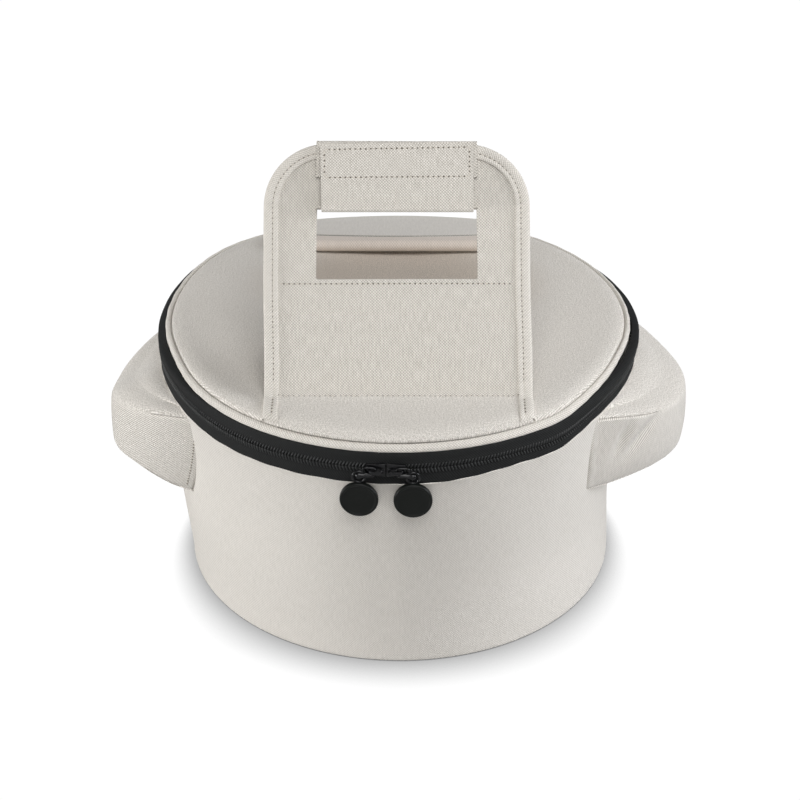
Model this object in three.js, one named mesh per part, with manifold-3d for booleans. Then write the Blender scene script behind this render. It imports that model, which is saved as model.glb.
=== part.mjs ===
// Round insulated carrier for a casserole dish: a padded canvas drum with two side pockets for the
// dish's handles, a zipped lid and two canvas carry handles on the lid.
// Millimetres, +Z up, the base rests on z = 0, the front faces -Y.
import * as THREE from 'three';
import { mergeVertices } from 'three/addons/utils/BufferGeometryUtils.js';
import Module from 'manifold-3d';

const wasm = await Module();
wasm.setup();

const deg = Math.PI / 180;

// Cloth layers
const canvas = 1.6;
const foam = 4;
const lining = 0.8;
const seat = 0.3; // clearance between pieces that touch
const ringSteps = 50;

// Drum
const baseRadius = 136.4;
const mouthRadius = 150;
const wallTop = 140.7;
const boardThick = 2.4;
const foamRise = 4; // foam stands this far up behind the lower tape

// Side pockets, plan circle and the four corners of their section
const earDepth = 33; // reach beyond the drum's mouth
const earRadius = 89.4;
const earTopAtWall = 139.4;
const earTopOut = 119;
const earLowAtWall = 90;
const earLowOut = 88;
const earCloth = 2.4;
const earWallInset = 26; // the pocket meets the drum this far inside its mouth
const pocketInset = 14;
const pocketMargin = 6;
const earSteps = 64;
const mouthSteps = 32;

// Zip band
const bandHeight = 17.2;
const bandLean = 2.8;
const tapeThick = 1.4;
const zipLine = 7.6; // above the drum's top edge
const coilGap = 1.6;
const coilHeight = 2;
const coilProud = 1;
const hingeHalfAngle = 22 * deg;
const zipEndGap = 0.6 * deg;

// Lid
const rimHeight = 4.4;
const rimDraw = 5.8;
const lidCrown = 2.4;
const lidDrop = 3.4;
const lidPuff = 24;
const lidFoamInset = 4;

// Handles
const handleHalf = 77.9;
const handleRise = 147.5;
const handleCorner = 34;
const handleLean = 37 * deg;
const panelThick = 2;
const bindWidth = 8.6;
const bindThick = 0.8;
const bindStart = 6;
const holeHalf = 47;
const holeLow = 68;
const holeHigh = 110.5;
const holeCorner = 1.8;
const footThick = 1.2;
const frontFootReach = 40.8; // from the rim seam in to the root

// Grip wrap round the front bar
const gripSide = 0.2; // the wrap stops this far inside the hand hole's corners
const gripCloth = 1;
const gripTape = 0.6;
const gripTapeHalf = 38;
const gripTapeDrop = 2.5; // below the bar's top edge
const gripTapeTall = 15;
const gripLapDrop = 20.5;

// Rear handle, folded back over its foot and hanging over the rim
const rearFootReach = 53.9;
const rollOuter = 4.2;
const rearSlope = 7.6 * deg;
const rimFold = 30 * deg;
const hangFold = 25 * deg;
const rearLower = 56.5;
const rearMiddle = 8;
const rearFootMargin = 1;

// Zip sliders and pulls
const zipMeet = -2.65 * deg;
const sliderLength = 11;
const sliderNose = 6.6;
const sliderMouth = 8.6;
const sliderPlate = 1.6;
const sliderPart = 0.4; // gap between the two sliders where they meet
const sliderPlay = 0.5;
const backPlateLength = 8;
const webLength = 3.2;
const webThick = 1;
const bailSpan = 9.2;
const bailRise = 4.4;
const bailBar = 1.1;
const bailWidth = 1.8;
const linkReach = 9.5;
const linkThick = 1.3;
const linkArm = 1.3;
const linkPlay = 0.5;
const linkPin = 0.7;
const eyeOuter = 3.2;
const eyeBore = 1.5;
const slotEnd = 5.9;
const pullRadius = 10.75;
const pullThick = 2.5;
const pullDrop = 17.5;
const pullLip = 1.3;
const pullLipRise = 0.4;
const loopBar = 1.2;
const loopWide = 1.8;
const loopPlay = 0.4;

// Levels and radii that follow from the sizes above
const bandTop = wallTop + bandHeight;
const rimFoot = bandTop + seat;
const rimRadius = mouthRadius - bandLean;
const seamRadius = rimRadius - rimDraw;
const lidTop = rimFoot + rimHeight + lidCrown;
const lidEdge = seamRadius - seat;
const zipMid = wallTop + zipLine;
const earReach = mouthRadius + earDepth;
const earWallAt = mouthRadius - earWallInset;
const frontRootY = frontFootReach - seamRadius;
const rearRootY = seamRadius - rearFootReach;
const bindReach = panelThick / 2 + seat + bindThick;
const gripTapeHigh = handleRise - gripTapeDrop;
const gripTapeLow = gripTapeHigh - gripTapeTall;
const gripLapLow = handleRise - gripLapDrop;

const wallAt = (z) => baseRadius + ((mouthRadius - baseRadius) * z) / wallTop;
const bandAt = (z) => mouthRadius - (bandLean * (z - wallTop)) / bandHeight;
const lidAt = (r) => {
  const u = Math.max(0, (r - (lidEdge - lidPuff)) / lidPuff);
  return lidTop - lidDrop * (1 - Math.sqrt(Math.max(0, 1 - u * u)));
};

// Colours
const canvasTone = 0xd9d2c6;
const bindTone = 0xd3ccbf;
const liningTone = 0xb9b6b0;
const foamTone = 0xe6e4df;
const blackTone = 0x1b1b1c;
const pullTone = 0x232324;

const finish = (color, roughness, metalness = 0) =>
  new THREE.MeshStandardMaterial({ color, roughness, metalness });

// Welds a geometry into a closed mesh whose faces point out
function weld(geometry) {
  const bare = geometry.index ? geometry.toNonIndexed() : geometry.clone();
  bare.deleteAttribute('normal');
  bare.deleteAttribute('uv');
  const merged = mergeVertices(bare, 1e-4);
  const ids = merged.index.array;
  const spots = merged.attributes.position;
  const a = new THREE.Vector3();
  const b = new THREE.Vector3();
  const c = new THREE.Vector3();
  const kept = [];
  let volume = 0;
  for (let i = 0; i < ids.length; i += 3) {
    const [p, q, r] = [ids[i], ids[i + 1], ids[i + 2]];
    if (p === q || q === r || r === p) continue;
    kept.push([p, q, r]);
    a.fromBufferAttribute(spots, p);
    b.fromBufferAttribute(spots, q);
    c.fromBufferAttribute(spots, r);
    volume += a.dot(b.cross(c));
  }
  const turned = volume < 0 ? kept.map(([p, q, r]) => [p, r, q]) : kept;
  merged.setIndex(turned.flat());
  return merged;
}

function toSolid(geometry) {
  const closed = weld(geometry);
  return new wasm.Manifold(new wasm.Mesh({
    numProp: 3,
    vertProperties: new Float32Array(closed.attributes.position.array),
    triVerts: new Uint32Array(closed.index.array),
  }));
}

function fromSolid(solid) {
  const mesh = solid.getMesh();
  const geometry = new THREE.BufferGeometry();
  geometry.setAttribute('position', new THREE.BufferAttribute(new Float32Array(mesh.vertProperties), 3));
  geometry.setIndex(new THREE.BufferAttribute(new Uint32Array(mesh.triVerts), 1));
  return geometry;
}

const joined = (...parts) => fromSolid(parts.map(toSolid).reduce((all, part) => all.add(part)));
const cut = (whole, ...tools) =>
  fromSolid(tools.map(toSolid).reduce((left, tool) => left.subtract(tool), toSolid(whole)));
const shared = (one, two) => fromSolid(toSolid(one).intersect(toSolid(two)));

// A profile of [radius, height] points turned about Z, starting at the front
function revolve(profile, steps = ringSteps) {
  const points = profile.map(([r, z]) => new THREE.Vector2(r, z));
  points.push(points[0].clone());
  return new THREE.LatheGeometry(points, steps).rotateX(Math.PI / 2);
}

const disc = (radius, low, thick) => revolve([
  [0, low], [radius, low], [radius, low + thick], [0, low + thick],
]);

function extrude(shape, depth, curveSegments = 6) {
  return new THREE.ExtrudeGeometry(shape, { depth, bevelEnabled: false, curveSegments });
}

// A section drawn as [away from the panel, along the panel], run across the panel's width
function runAcross(shape, length, curveSegments = 6) {
  return extrude(shape, length, curveSegments).rotateY(-Math.PI / 2).translate(length / 2, 0, 0);
}

function polygon(points) {
  return new THREE.Shape(points.map(([x, y]) => new THREE.Vector2(x, y)));
}

// A wedge of the full turn, opening to the rear
function rearWedge(half) {
  const reach = mouthRadius * 2;
  const across = reach * Math.tan(half);
  return extrude(polygon([[0, 0], [across, reach], [-across, reach]]), bandTop * 2);
}

// A thin piece of cloth between two height fields over a patch of the plan
function clothPatch(across, along, at) {
  const spots = [];
  const faces = [];
  const row = across + 1;
  const layer = row * (along + 1);
  for (let side = 0; side < 2; side += 1) {
    for (let j = 0; j <= along; j += 1) {
      for (let i = 0; i <= across; i += 1) spots.push(...at(i / across, j / along, side));
    }
  }
  const quad = (a, b, c, d) => faces.push(a, b, c, a, c, d);
  for (let j = 0; j < along; j += 1) {
    for (let i = 0; i < across; i += 1) {
      const k = j * row + i;
      quad(k, k + row, k + row + 1, k + 1);
      quad(layer + k, layer + k + 1, layer + k + row + 1, layer + k + row);
    }
  }
  for (let i = 0; i < across; i += 1) {
    const far = along * row + i;
    quad(i, i + 1, layer + i + 1, layer + i);
    quad(far + 1, far, layer + far, layer + far + 1);
  }
  for (let j = 0; j < along; j += 1) {
    const near = j * row;
    const end = near + across;
    quad(near + row, near, layer + near, layer + near + row);
    quad(end, end + row, layer + end + row, layer + end);
  }
  const geometry = new THREE.BufferGeometry();
  geometry.setAttribute('position', new THREE.Float32BufferAttribute(spots, 3));
  geometry.setIndex(faces);
  return geometry;
}

const carrier = new THREE.Group();

function add(parent, name, geometry, material) {
  const piece = new THREE.Mesh(weld(geometry), material);
  piece.name = name;
  parent.add(piece);
  return piece;
}

function frameAt(parent, x, y, z, turnX = 0, turnZ = 0) {
  const frame = new THREE.Group();
  frame.position.set(x, y, z);
  frame.rotation.set(turnX, 0, turnZ);
  parent.add(frame);
  return frame;
}

// Side pockets
const earCentre = earReach - earRadius;
const earSlope = (atWall, out) => (x) =>
  atWall + ((out - atWall) * (Math.abs(x) - earWallAt)) / (earReach - earWallAt);
const earTop = earSlope(earTopAtWall, earTopOut);
const earLow = earSlope(earLowAtWall, earLowOut);

function earPrism(side, radius, low, high, steps = earSteps) {
  const prism = new THREE.CylinderGeometry(radius, radius, 1, steps).rotateX(Math.PI / 2);
  prism.translate(earCentre, 0, 0);
  const spots = prism.attributes.position;
  for (let i = 0; i < spots.count; i += 1) {
    const x = spots.getX(i);
    spots.setZ(i, spots.getZ(i) > 0 ? high(x) : low(x));
  }
  return prism.scale(side, 1, 1);
}

const drumCore = revolve([
  [0, -canvas],
  [wallAt(-canvas) + seat, -canvas],
  [wallAt(bandTop * 2) + seat, bandTop * 2],
  [0, bandTop * 2],
]);
const pocketMouths = [-1, 1].map((side) => earPrism(
  side,
  earRadius - pocketInset,
  (x) => earLow(x) + pocketMargin,
  (x) => earTop(x) - pocketMargin,
  mouthSteps,
));

for (const [side, word] of [[-1, 'left'], [1, 'right']]) {
  const under = (lift) => (x) => earLow(x) + lift;
  const over = (drop) => (x) => earTop(x) - drop;
  const band = cut(
    earPrism(side, earRadius, under(earCloth + seat), over(earCloth + seat)),
    earPrism(side, earRadius - earCloth, under(0), over(0)),
    drumCore,
  );
  const top = cut(earPrism(side, earRadius, over(earCloth), over(0)), drumCore);
  const low = cut(earPrism(side, earRadius, under(0), under(earCloth)), drumCore);
  add(carrier, `ear_${word}_band`, band, finish(canvasTone, 0.9));
  add(carrier, `ear_${word}_top`, top, finish(canvasTone, 0.9));
  add(carrier, `ear_${word}_under`, low, finish(canvasTone, 0.9));
}

// Drum: canvas, foam and lining, each open into the pockets
const wallFoot = canvas + seat;
const foamTop = wallTop + foamRise;
const skin = (z) => wallAt(z) - canvas - seat;
const behindTape = (z) => bandAt(z) - tapeThick - seat;
const boardLow = canvas + seat;
const padLow = boardLow + boardThick + seat;
const sheetLow = padLow + foam + seat;
const inFoam = (r) => r - foam;
const inLining = (r) => r - foam - seat;

const wall = revolve([
  [wallAt(wallFoot) - canvas, wallFoot],
  [wallAt(wallFoot), wallFoot],
  [wallAt(wallTop), wallTop],
  [wallAt(wallTop) - canvas, wallTop],
]);
const foamWall = revolve([
  [inFoam(skin(wallFoot)), wallFoot],
  [skin(wallFoot), wallFoot],
  [skin(wallTop), wallTop],
  [behindTape(foamTop), foamTop],
  [inFoam(behindTape(foamTop)), foamTop],
  [inFoam(skin(wallTop)), wallTop],
]);
const hemLow = foamTop + seat;
const hemTop = hemLow + lining;
const liningWall = revolve([
  [inLining(skin(sheetLow)) - lining, sheetLow],
  [inLining(skin(sheetLow)), sheetLow],
  [inLining(skin(wallTop)), wallTop],
  [inLining(behindTape(foamTop)), hemLow],
  [behindTape(hemTop), hemLow],
  [behindTape(hemTop), hemTop],
  [inLining(behindTape(foamTop)) - lining, hemTop],
  [inLining(skin(wallTop)) - lining, wallTop],
]);
add(carrier, 'body_wall', cut(wall, ...pocketMouths), finish(canvasTone, 0.9));
add(carrier, 'body_foam', cut(foamWall, ...pocketMouths), finish(foamTone, 0.95));
add(carrier, 'body_lining', cut(liningWall, ...pocketMouths), finish(liningTone, 0.6));

const floorRadius = inFoam(skin(wallFoot)) - seat;
const sheetRadius = inLining(skin(sheetLow)) - lining - seat;
add(carrier, 'base_panel', disc(baseRadius, 0, canvas), finish(canvasTone, 0.9));
add(carrier, 'base_board', disc(floorRadius, boardLow, boardThick), finish(foamTone, 0.6));
add(carrier, 'base_foam', disc(floorRadius, padLow, foam), finish(foamTone, 0.95));
add(carrier, 'base_lining', disc(sheetRadius, sheetLow, lining), finish(liningTone, 0.6));

// Zip band: two tapes with their rows of teeth, and the cloth hinge behind
const tapeRing = (low, high) => revolve([
  [bandAt(low) - tapeThick, low],
  [bandAt(low), low],
  [bandAt(high), high],
  [bandAt(high) - tapeThick, high],
]);
function coilRing(low) {
  const high = low + coilHeight;
  const foot = Math.max(bandAt(low), bandAt(high)) + seat;
  const soft = coilHeight / 4;
  return revolve([
    [foot, low],
    [foot + coilProud * 0.6, low],
    [foot + coilProud, low + soft],
    [foot + coilProud, high - soft],
    [foot + coilProud * 0.6, high],
    [foot, high],
  ]);
}
const tapeLow = wallTop + seat;
const rowLow = zipMid - coilGap / 2;
const rowHigh = zipMid + coilGap / 2;
const hingeGap = rearWedge(hingeHalfAngle + zipEndGap);
add(carrier, 'zip_lower_tape', cut(tapeRing(tapeLow, rowLow), hingeGap), finish(blackTone, 0.75));
add(carrier, 'zip_lower_teeth', cut(coilRing(rowLow - coilHeight), hingeGap), finish(blackTone, 0.45));
add(carrier, 'lid_hinge_strip', shared(tapeRing(tapeLow, bandTop), rearWedge(hingeHalfAngle)),
  finish(canvasTone, 0.9));

// Lid
const rimCurve = (draw, rise) => [0, 30, 60, 90].map((a) => [
  seamRadius + draw * Math.cos(a * deg),
  rimFoot + rise * Math.sin(a * deg),
]);
const lidCurve = (edge, drop) => [0, 0.45, 0.75, 0.92, 1].map((u) => {
  const r = edge - lidPuff + lidPuff * u;
  return [r, lidAt(r) - drop];
});
const lidSkinTop = lidCurve(lidEdge, 0);
const lidSkinLow = lidCurve(lidEdge, canvas);
const lidPadTop = lidCurve(lidEdge - lidFoamInset, canvas + seat);
const lidPadLow = rimFoot + lining + seat;
add(carrier, 'lid_top', revolve([
  [0, lidTop - canvas], ...lidSkinLow, ...lidSkinTop.reverse(), [0, lidTop],
]), finish(canvasTone, 0.9));
add(carrier, 'lid_rim', revolve([
  ...rimCurve(rimDraw, rimHeight),
  ...rimCurve(rimDraw - canvas, rimHeight - canvas).reverse(),
]), finish(canvasTone, 0.9));
add(carrier, 'lid_foam', revolve([
  [0, lidPadLow], [lidEdge - lidFoamInset, lidPadLow], ...lidPadTop.reverse(),
  [0, lidTop - canvas - seat],
]), finish(foamTone, 0.95));
add(carrier, 'lid_lining', disc(rimRadius - canvas - seat * 2, rimFoot, lining), finish(liningTone, 0.6));
add(carrier, 'zip_upper_tape', cut(tapeRing(rowHigh, bandTop), hingeGap), finish(blackTone, 0.75));
add(carrier, 'zip_upper_teeth', cut(coilRing(rowHigh), hingeGap), finish(blackTone, 0.45));

// Feet of the two handles, sewn down on the lid from the rim seam to the stitch line
function foot(half, from, sign) {
  return clothPatch(10, 8, (u, v, side) => {
    const x = (u * 2 - 1) * half;
    const edge = Math.sqrt((lidEdge - seat) ** 2 - x * x);
    const y = from + (edge - from) * (1 - (1 - v) ** 2); // rows draw together towards the rim
    const z = lidAt(Math.hypot(x, y)) + seat + (side ? footThick : 0);
    return [x, y * sign, z];
  });
}
const frontFootY = -frontRootY + panelThick / 2 + seat;
const rearFootY = rearRootY + rollOuter + seat;
const rearFootHalf = handleHalf - bindWidth - rearFootMargin;
add(carrier, 'front_handle_foot', foot(handleHalf, frontFootY, -1), finish(canvasTone, 0.9));
add(carrier, 'rear_handle_foot', foot(rearFootHalf, rearFootY, 1), finish(canvasTone, 0.9));

// Handle panels. Each is drawn flat: x across, y up from its root, z out of its outer face
function panelOutline(inset, low, high) {
  const half = handleHalf - inset;
  const top = high - inset;
  const bend = handleCorner - inset;
  const shape = new THREE.Shape();
  shape.moveTo(-half, low);
  shape.lineTo(half, low);
  shape.lineTo(half, top - bend);
  shape.absarc(half - bend, top - bend, bend, 0, Math.PI / 2, false);
  shape.lineTo(bend - half, top);
  shape.absarc(bend - half, top - bend, bend, Math.PI / 2, Math.PI, false);
  shape.lineTo(-half, low);
  return shape;
}

function handHole(low, high) {
  const path = new THREE.Path();
  const x = holeHalf;
  const c = holeCorner;
  path.moveTo(-x + c, low);
  path.lineTo(x - c, low);
  path.absarc(x - c, low + c, c, -Math.PI / 2, 0, false);
  path.lineTo(x, high - c);
  path.absarc(x - c, high - c, c, 0, Math.PI / 2, false);
  path.lineTo(-x + c, high);
  path.absarc(-x + c, high - c, c, Math.PI / 2, Math.PI, false);
  path.lineTo(-x, low + c);
  path.absarc(-x + c, low + c, c, Math.PI, Math.PI * 1.5, false);
  return path;
}

const centred = (shape, thick) => extrude(shape, thick).translate(0, 0, -thick / 2);

// Cloth binding folded round the panel's edge
function edgeBinding(low, high) {
  return cut(
    centred(panelOutline(0, low, high), bindReach * 2),
    centred(panelOutline(bindWidth, low - bindWidth, high), bindReach * 3),
    centred(panelOutline(bindThick, low - bindWidth, high), panelThick + seat * 2),
  );
}
const panelInset = bindThick + seat;

const frontRootZ = lidTop + seat + footThick + panelThick / 2;
const front = frameAt(carrier, 0, frontRootY, frontRootZ, Math.PI / 2 - handleLean);
const frontShape = panelOutline(panelInset, 0, handleRise);
frontShape.holes.push(handHole(holeLow, holeHigh));
const frontRoot = new THREE.CylinderGeometry(
  panelThick / 2, panelThick / 2, (handleHalf - panelInset) * 2, 12,
).rotateZ(Math.PI / 2);
add(front, 'front_handle_panel', joined(centred(frontShape, panelThick), frontRoot),
  finish(canvasTone, 0.9));
add(front, 'front_handle_binding', edgeBinding(bindStart, handleRise), finish(bindTone, 0.9));

// Grip wrap: sewn round the back and over the top of the bar, closed by a flap from below
const gripHalf = holeHalf - holeCorner - gripSide;
const gripIn = bindReach + seat;
const gripOut = gripIn + gripCloth;
const gripTop = handleRise + seat;
const gripLow = holeHigh - seat;
const loopAt = gripOut + seat;
const hookAt = loopAt + gripTape + seat;
const flapAt = hookAt + gripTape + seat;
const flapMid = flapAt + gripCloth / 2;
const sleeve = polygon([
  [gripIn, gripLapLow], [gripOut, gripLapLow], [gripOut, gripTop + gripCloth],
  [-gripOut, gripTop + gripCloth], [-gripOut, gripLow - gripCloth], [flapAt - seat, gripLow - gripCloth],
  [flapAt - seat, gripLow], [-gripIn, gripLow], [-gripIn, gripTop], [gripIn, gripTop],
]);
add(front, 'grip_sleeve', runAcross(sleeve, gripHalf * 2), finish(canvasTone, 0.9));
const tapeBox = (from) => new THREE.BoxGeometry(
  gripTapeHalf * 2, gripTapeHigh - gripTapeLow, gripTape,
).translate(0, (gripTapeHigh + gripTapeLow) / 2, from + gripTape / 2);
add(front, 'grip_loop_tape', tapeBox(loopAt), finish(bindTone, 0.95));

const flap = frameAt(front, 0, gripLow - gripCloth / 2, flapMid);
const flapLength = gripTop + gripCloth - (gripLow - gripCloth / 2);
const flapShape = new THREE.Shape();
flapShape.moveTo(gripCloth / 2, 0);
flapShape.lineTo(gripCloth / 2, flapLength);
flapShape.lineTo(-gripCloth / 2, flapLength);
flapShape.lineTo(-gripCloth / 2, 0);
flapShape.absarc(0, 0, gripCloth / 2, Math.PI, Math.PI * 2, false);
add(flap, 'grip_flap', runAcross(flapShape, gripHalf * 2), finish(canvasTone, 0.9));
add(flap, 'grip_hook_tape', tapeBox(hookAt).translate(0, -(gripLow - gripCloth / 2), -flapMid),
  finish(bindTone, 0.95));

// Rear handle: rolled back at its root, over the rim in two folds, the hand hole hanging behind
const rollInner = rollOuter - panelThick;
const rearMid = rollOuter - panelThick / 2;
const rearRootZ = lidTop + seat + rollOuter;
const foldGap = panelThick / 2 + seat;
const rear = frameAt(carrier, 0, rearRootY, rearRootZ, -rearSlope);
const rearWidth = (handleHalf - panelInset) * 2;
const roll = new THREE.Shape();
roll.moveTo(rollInner, rearLower - foldGap);
roll.lineTo(rollInner, 0);
roll.absarc(0, 0, rollInner, 0, -Math.PI, true);
roll.lineTo(-rollOuter, 0);
roll.absarc(0, 0, rollOuter, -Math.PI, 0, false);
roll.lineTo(rollOuter, rearLower - foldGap);
add(rear, 'rear_handle_root', runAcross(roll, rearWidth, 10), finish(canvasTone, 0.9));

const strip = new THREE.BoxGeometry(bindWidth, rearLower - bindStart * 2, bindReach * 2);
for (const [side, word] of [[-1, 'left'], [1, 'right']]) {
  const at = handleHalf - bindWidth / 2;
  const groove = new THREE.BoxGeometry(bindWidth, rearLower, panelThick + seat * 2);
  const piece = cut(
    strip.clone().translate(side * at, rearLower / 2, rearMid),
    groove.translate(side * (at - bindThick), rearLower / 2, rearMid),
  );
  add(rear, `rear_binding_${word}`, piece, finish(bindTone, 0.9));
}

const middle = frameAt(rear, 0, rearLower, rearMid, -rimFold);
const link = new THREE.Shape();
link.moveTo(panelThick / 2, 0);
link.lineTo(panelThick / 2, rearMiddle);
link.absarc(0, rearMiddle, panelThick / 2, 0, Math.PI, false);
link.lineTo(-panelThick / 2, 0);
link.absarc(0, 0, panelThick / 2, Math.PI, Math.PI * 2, false);
add(middle, 'rear_handle_fold', runAcross(link, rearWidth), finish(canvasTone, 0.9));

const hang = frameAt(middle, 0, rearMiddle, 0, -hangFold);
const used = rearLower + rearMiddle;
const hangShape = panelOutline(panelInset, foldGap, handleRise - used);
hangShape.holes.push(handHole(holeLow - used, holeHigh - used));
add(hang, 'rear_handle_panel', centred(hangShape, panelThick), finish(canvasTone, 0.9));
add(hang, 'rear_handle_binding', edgeBinding(bindStart, handleRise - used), finish(bindTone, 0.9));

// Zip sliders, drawn at the front with the pull running to -X, then turned round the zip
const coilOut = bandAt(rowLow - coilHeight) + seat + coilProud;
const plateIn = coilOut + sliderPlay;
const plateOut = plateIn + sliderPlate;
const backOut = bandAt(rowHigh + coilHeight * 2) - tapeThick - sliderPlay;
const backIn = backOut - sliderPlate;
const outward = (geometry, from) => geometry.rotateX(Math.PI / 2).translate(0, -from, 0);
const linkMid = plateOut + linkPlay + linkThick / 2;
const armIn = bailWidth / 2 + loopPlay;
const armOut = armIn + linkArm;

function sliderBody(side) {
  const a = sliderLength / 2;
  const face = polygon([
    [-a, -sliderNose / 2], [a, -sliderMouth / 2], [a, sliderMouth / 2], [-a, sliderNose / 2],
  ]);
  const plate = outward(extrude(face, sliderPlate), plateIn).translate(0, 0, zipMid);
  const backHeight = rowHigh + coilHeight - hemTop - sliderPlay;
  const back = new THREE.BoxGeometry(backPlateLength, sliderPlate, backHeight).translate(
    0, -(backIn + backOut) / 2, hemTop + sliderPlay + backHeight / 2,
  );
  const reach = plateIn - backOut + sliderPlate;
  const web = new THREE.BoxGeometry(webLength, reach, webThick).translate(
    0, -(plateIn + backOut) / 2, zipMid,
  );
  const bail = new THREE.Shape();
  bail.absellipse(0, 0, bailSpan / 2, bailRise, 0, Math.PI, false);
  bail.absellipse(0, 0, bailSpan / 2 - bailBar, bailRise - bailBar, Math.PI, 0, true);
  const arch = extrude(bail, bailWidth, 10).scale(1, -1, 1).translate(
    0, -(plateOut - sliderPlate / 4), zipMid - bailWidth / 2,
  );
  return joined(plate, back, web, arch).scale(side, 1, 1);
}

function pullLink(side) {
  const turn = Math.asin(armOut / eyeOuter);
  const shape = new THREE.Shape();
  shape.moveTo(0, armIn);
  shape.lineTo(0, armOut);
  shape.lineTo(-linkReach + eyeOuter * Math.cos(turn), armOut);
  shape.absarc(-linkReach, 0, eyeOuter, turn, Math.PI * 2 - turn, false);
  shape.lineTo(0, -armOut);
  shape.lineTo(0, -armIn);
  shape.lineTo(-slotEnd, -armIn);
  shape.lineTo(-slotEnd, armIn);
  const eye = new THREE.Path();
  eye.absarc(-linkReach, 0, eyeBore, 0, Math.PI * 2, false);
  shape.holes.push(eye);
  const plate = outward(extrude(shape, linkThick, 14), 0).translate(0, linkThick / 2, 0);
  const pin = new THREE.CylinderGeometry(linkPin, linkPin, armOut * 2, 14).rotateX(Math.PI / 2);
  return joined(plate, pin).scale(side, 1, 1);
}

function pullDisc(side) {
  const round = new THREE.Shape();
  round.absarc(0, -pullDrop, pullRadius, 0, Math.PI * 2, false);
  const lip = new THREE.Shape();
  lip.absarc(0, -pullDrop, pullRadius, 0, Math.PI * 2, false);
  const inside = new THREE.Path();
  inside.absarc(0, -pullDrop, pullRadius - pullLip, 0, Math.PI * 2, false);
  lip.holes.push(inside);
  const face = outward(extrude(round, pullThick, 14), -pullThick / 2);
  const edge = outward(extrude(lip, pullThick + pullLipRise * 2, 14), -pullThick / 2 - pullLipRise);
  const gap = linkThick / 2 + loopPlay;
  const low = -eyeOuter - linkPlay * 2;
  const high = loopBar / 2;
  const neck = pullRadius - pullDrop - loopBar;
  const ring = polygon([
    [-gap - loopBar, neck], [gap + loopBar, neck],
    [gap + loopBar, high], [-gap - loopBar, high],
  ]);
  ring.holes.push(polygon([[-gap, low], [gap, low], [gap, -high], [-gap, -high]]));
  const loop = extrude(ring, loopWide).translate(0, 0, -loopWide / 2);
  loop.rotateX(Math.PI / 2).rotateZ(Math.PI / 2);
  return joined(face, edge, loop).scale(side, 1, 1);
}

const sliderTurn = (sliderLength + sliderPart) / 2 / mouthRadius;
for (const [side, word] of [[1, 'left'], [-1, 'right']]) {
  const spin = frameAt(carrier, 0, 0, 0, 0, zipMeet - side * sliderTurn);
  add(spin, `slider_${word}`, sliderBody(side), finish(blackTone, 0.3, 0.4));
  const bail = frameAt(spin, 0, -linkMid, zipMid);
  add(bail, `pull_link_${word}`, pullLink(side), finish(blackTone, 0.3, 0.4));
  const eye = frameAt(bail, -side * linkReach, 0, 0);
  add(eye, `pull_disc_${word}`, pullDisc(side), finish(pullTone, 0.55));
}

export default carrier;
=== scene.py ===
import math

import bmesh
import bpy
import numpy as np
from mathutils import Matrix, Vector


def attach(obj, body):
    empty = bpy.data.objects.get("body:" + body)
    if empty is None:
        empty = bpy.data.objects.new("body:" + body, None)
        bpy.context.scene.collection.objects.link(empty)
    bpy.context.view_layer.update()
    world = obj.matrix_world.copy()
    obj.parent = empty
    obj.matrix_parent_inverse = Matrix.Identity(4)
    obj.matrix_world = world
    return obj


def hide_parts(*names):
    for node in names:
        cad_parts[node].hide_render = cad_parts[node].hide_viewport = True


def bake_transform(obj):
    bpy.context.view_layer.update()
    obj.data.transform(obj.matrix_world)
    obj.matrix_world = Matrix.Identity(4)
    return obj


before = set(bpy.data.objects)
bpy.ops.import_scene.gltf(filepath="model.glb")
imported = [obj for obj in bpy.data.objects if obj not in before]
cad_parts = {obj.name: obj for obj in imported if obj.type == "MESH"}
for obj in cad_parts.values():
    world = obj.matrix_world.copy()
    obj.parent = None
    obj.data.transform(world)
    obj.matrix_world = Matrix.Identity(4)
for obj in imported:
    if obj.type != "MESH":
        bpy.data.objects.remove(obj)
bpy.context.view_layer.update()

mm = 0.001
fullTurn = 2 * math.pi


def smooth(t):
    # 3 t^2 - 2 t^3 between 0 and 1, level outside
    t = np.clip(t, 0, 1)
    return t * t * (3 - 2 * t)


def bump(a, middle, width):
    # bell: e to the minus square of the distance over the width
    return np.exp(-(((a - middle) / width) ** 2))


# mesh making: every shape is a grid of points (u, v) worked out as one array, in millimetres

def together(*parts):
    # coordinates spread to one shape and stacked last
    return np.stack(np.broadcast_arrays(*parts), -1)


def onRound(r, t, z):
    # points at radius r and angle t about Z, at height z
    return together(r * np.cos(t), r * np.sin(t), z)


def patch(points, uv, wrapU=None, wrapV=None, keep=None, slot=0, outFrom=None):
    # quads between neighbours of the grid; wrapU or wrapV is the cloth length of a closed round
    nu, nv = points.shape[:2]
    if wrapU is not None:
        uv = np.concatenate([uv, uv[:1] + np.array([wrapU, 0.0])], 0)
    if wrapV is not None:
        uv = np.concatenate([uv, uv[:, :1] + np.array([0.0, wrapV])], 1)
    cu, cv = uv.shape[0] - 1, uv.shape[1] - 1
    i, j = [a.ravel() for a in np.meshgrid(np.arange(cu), np.arange(cv), indexing="ij")]
    if keep is not None:
        i, j = i[keep.ravel()], j[keep.ravel()]
    ends = [(i, j), (i + 1, j), (i + 1, j + 1), (i, j + 1)]
    faces = np.stack([(a % nu) * nv + b % nv for a, b in ends], 1)
    cloth = np.stack([uv[a, b] for a, b in ends], 1)
    flat = points.reshape(-1, 3)
    if outFrom is not None:  # turned so that the faces look away from a point inside
        p, q, r, s = [flat[faces[:, k]] for k in range(4)]
        look = np.cross(r - p, s - q)
        if ((p + r) / 2 - np.array(outFrom)).ravel() @ look.ravel() < 0:
            faces, cloth = faces[:, ::-1], cloth[:, ::-1]
    return dict(points=flat, faces=faces, cloth=cloth, slot=slot)


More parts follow.
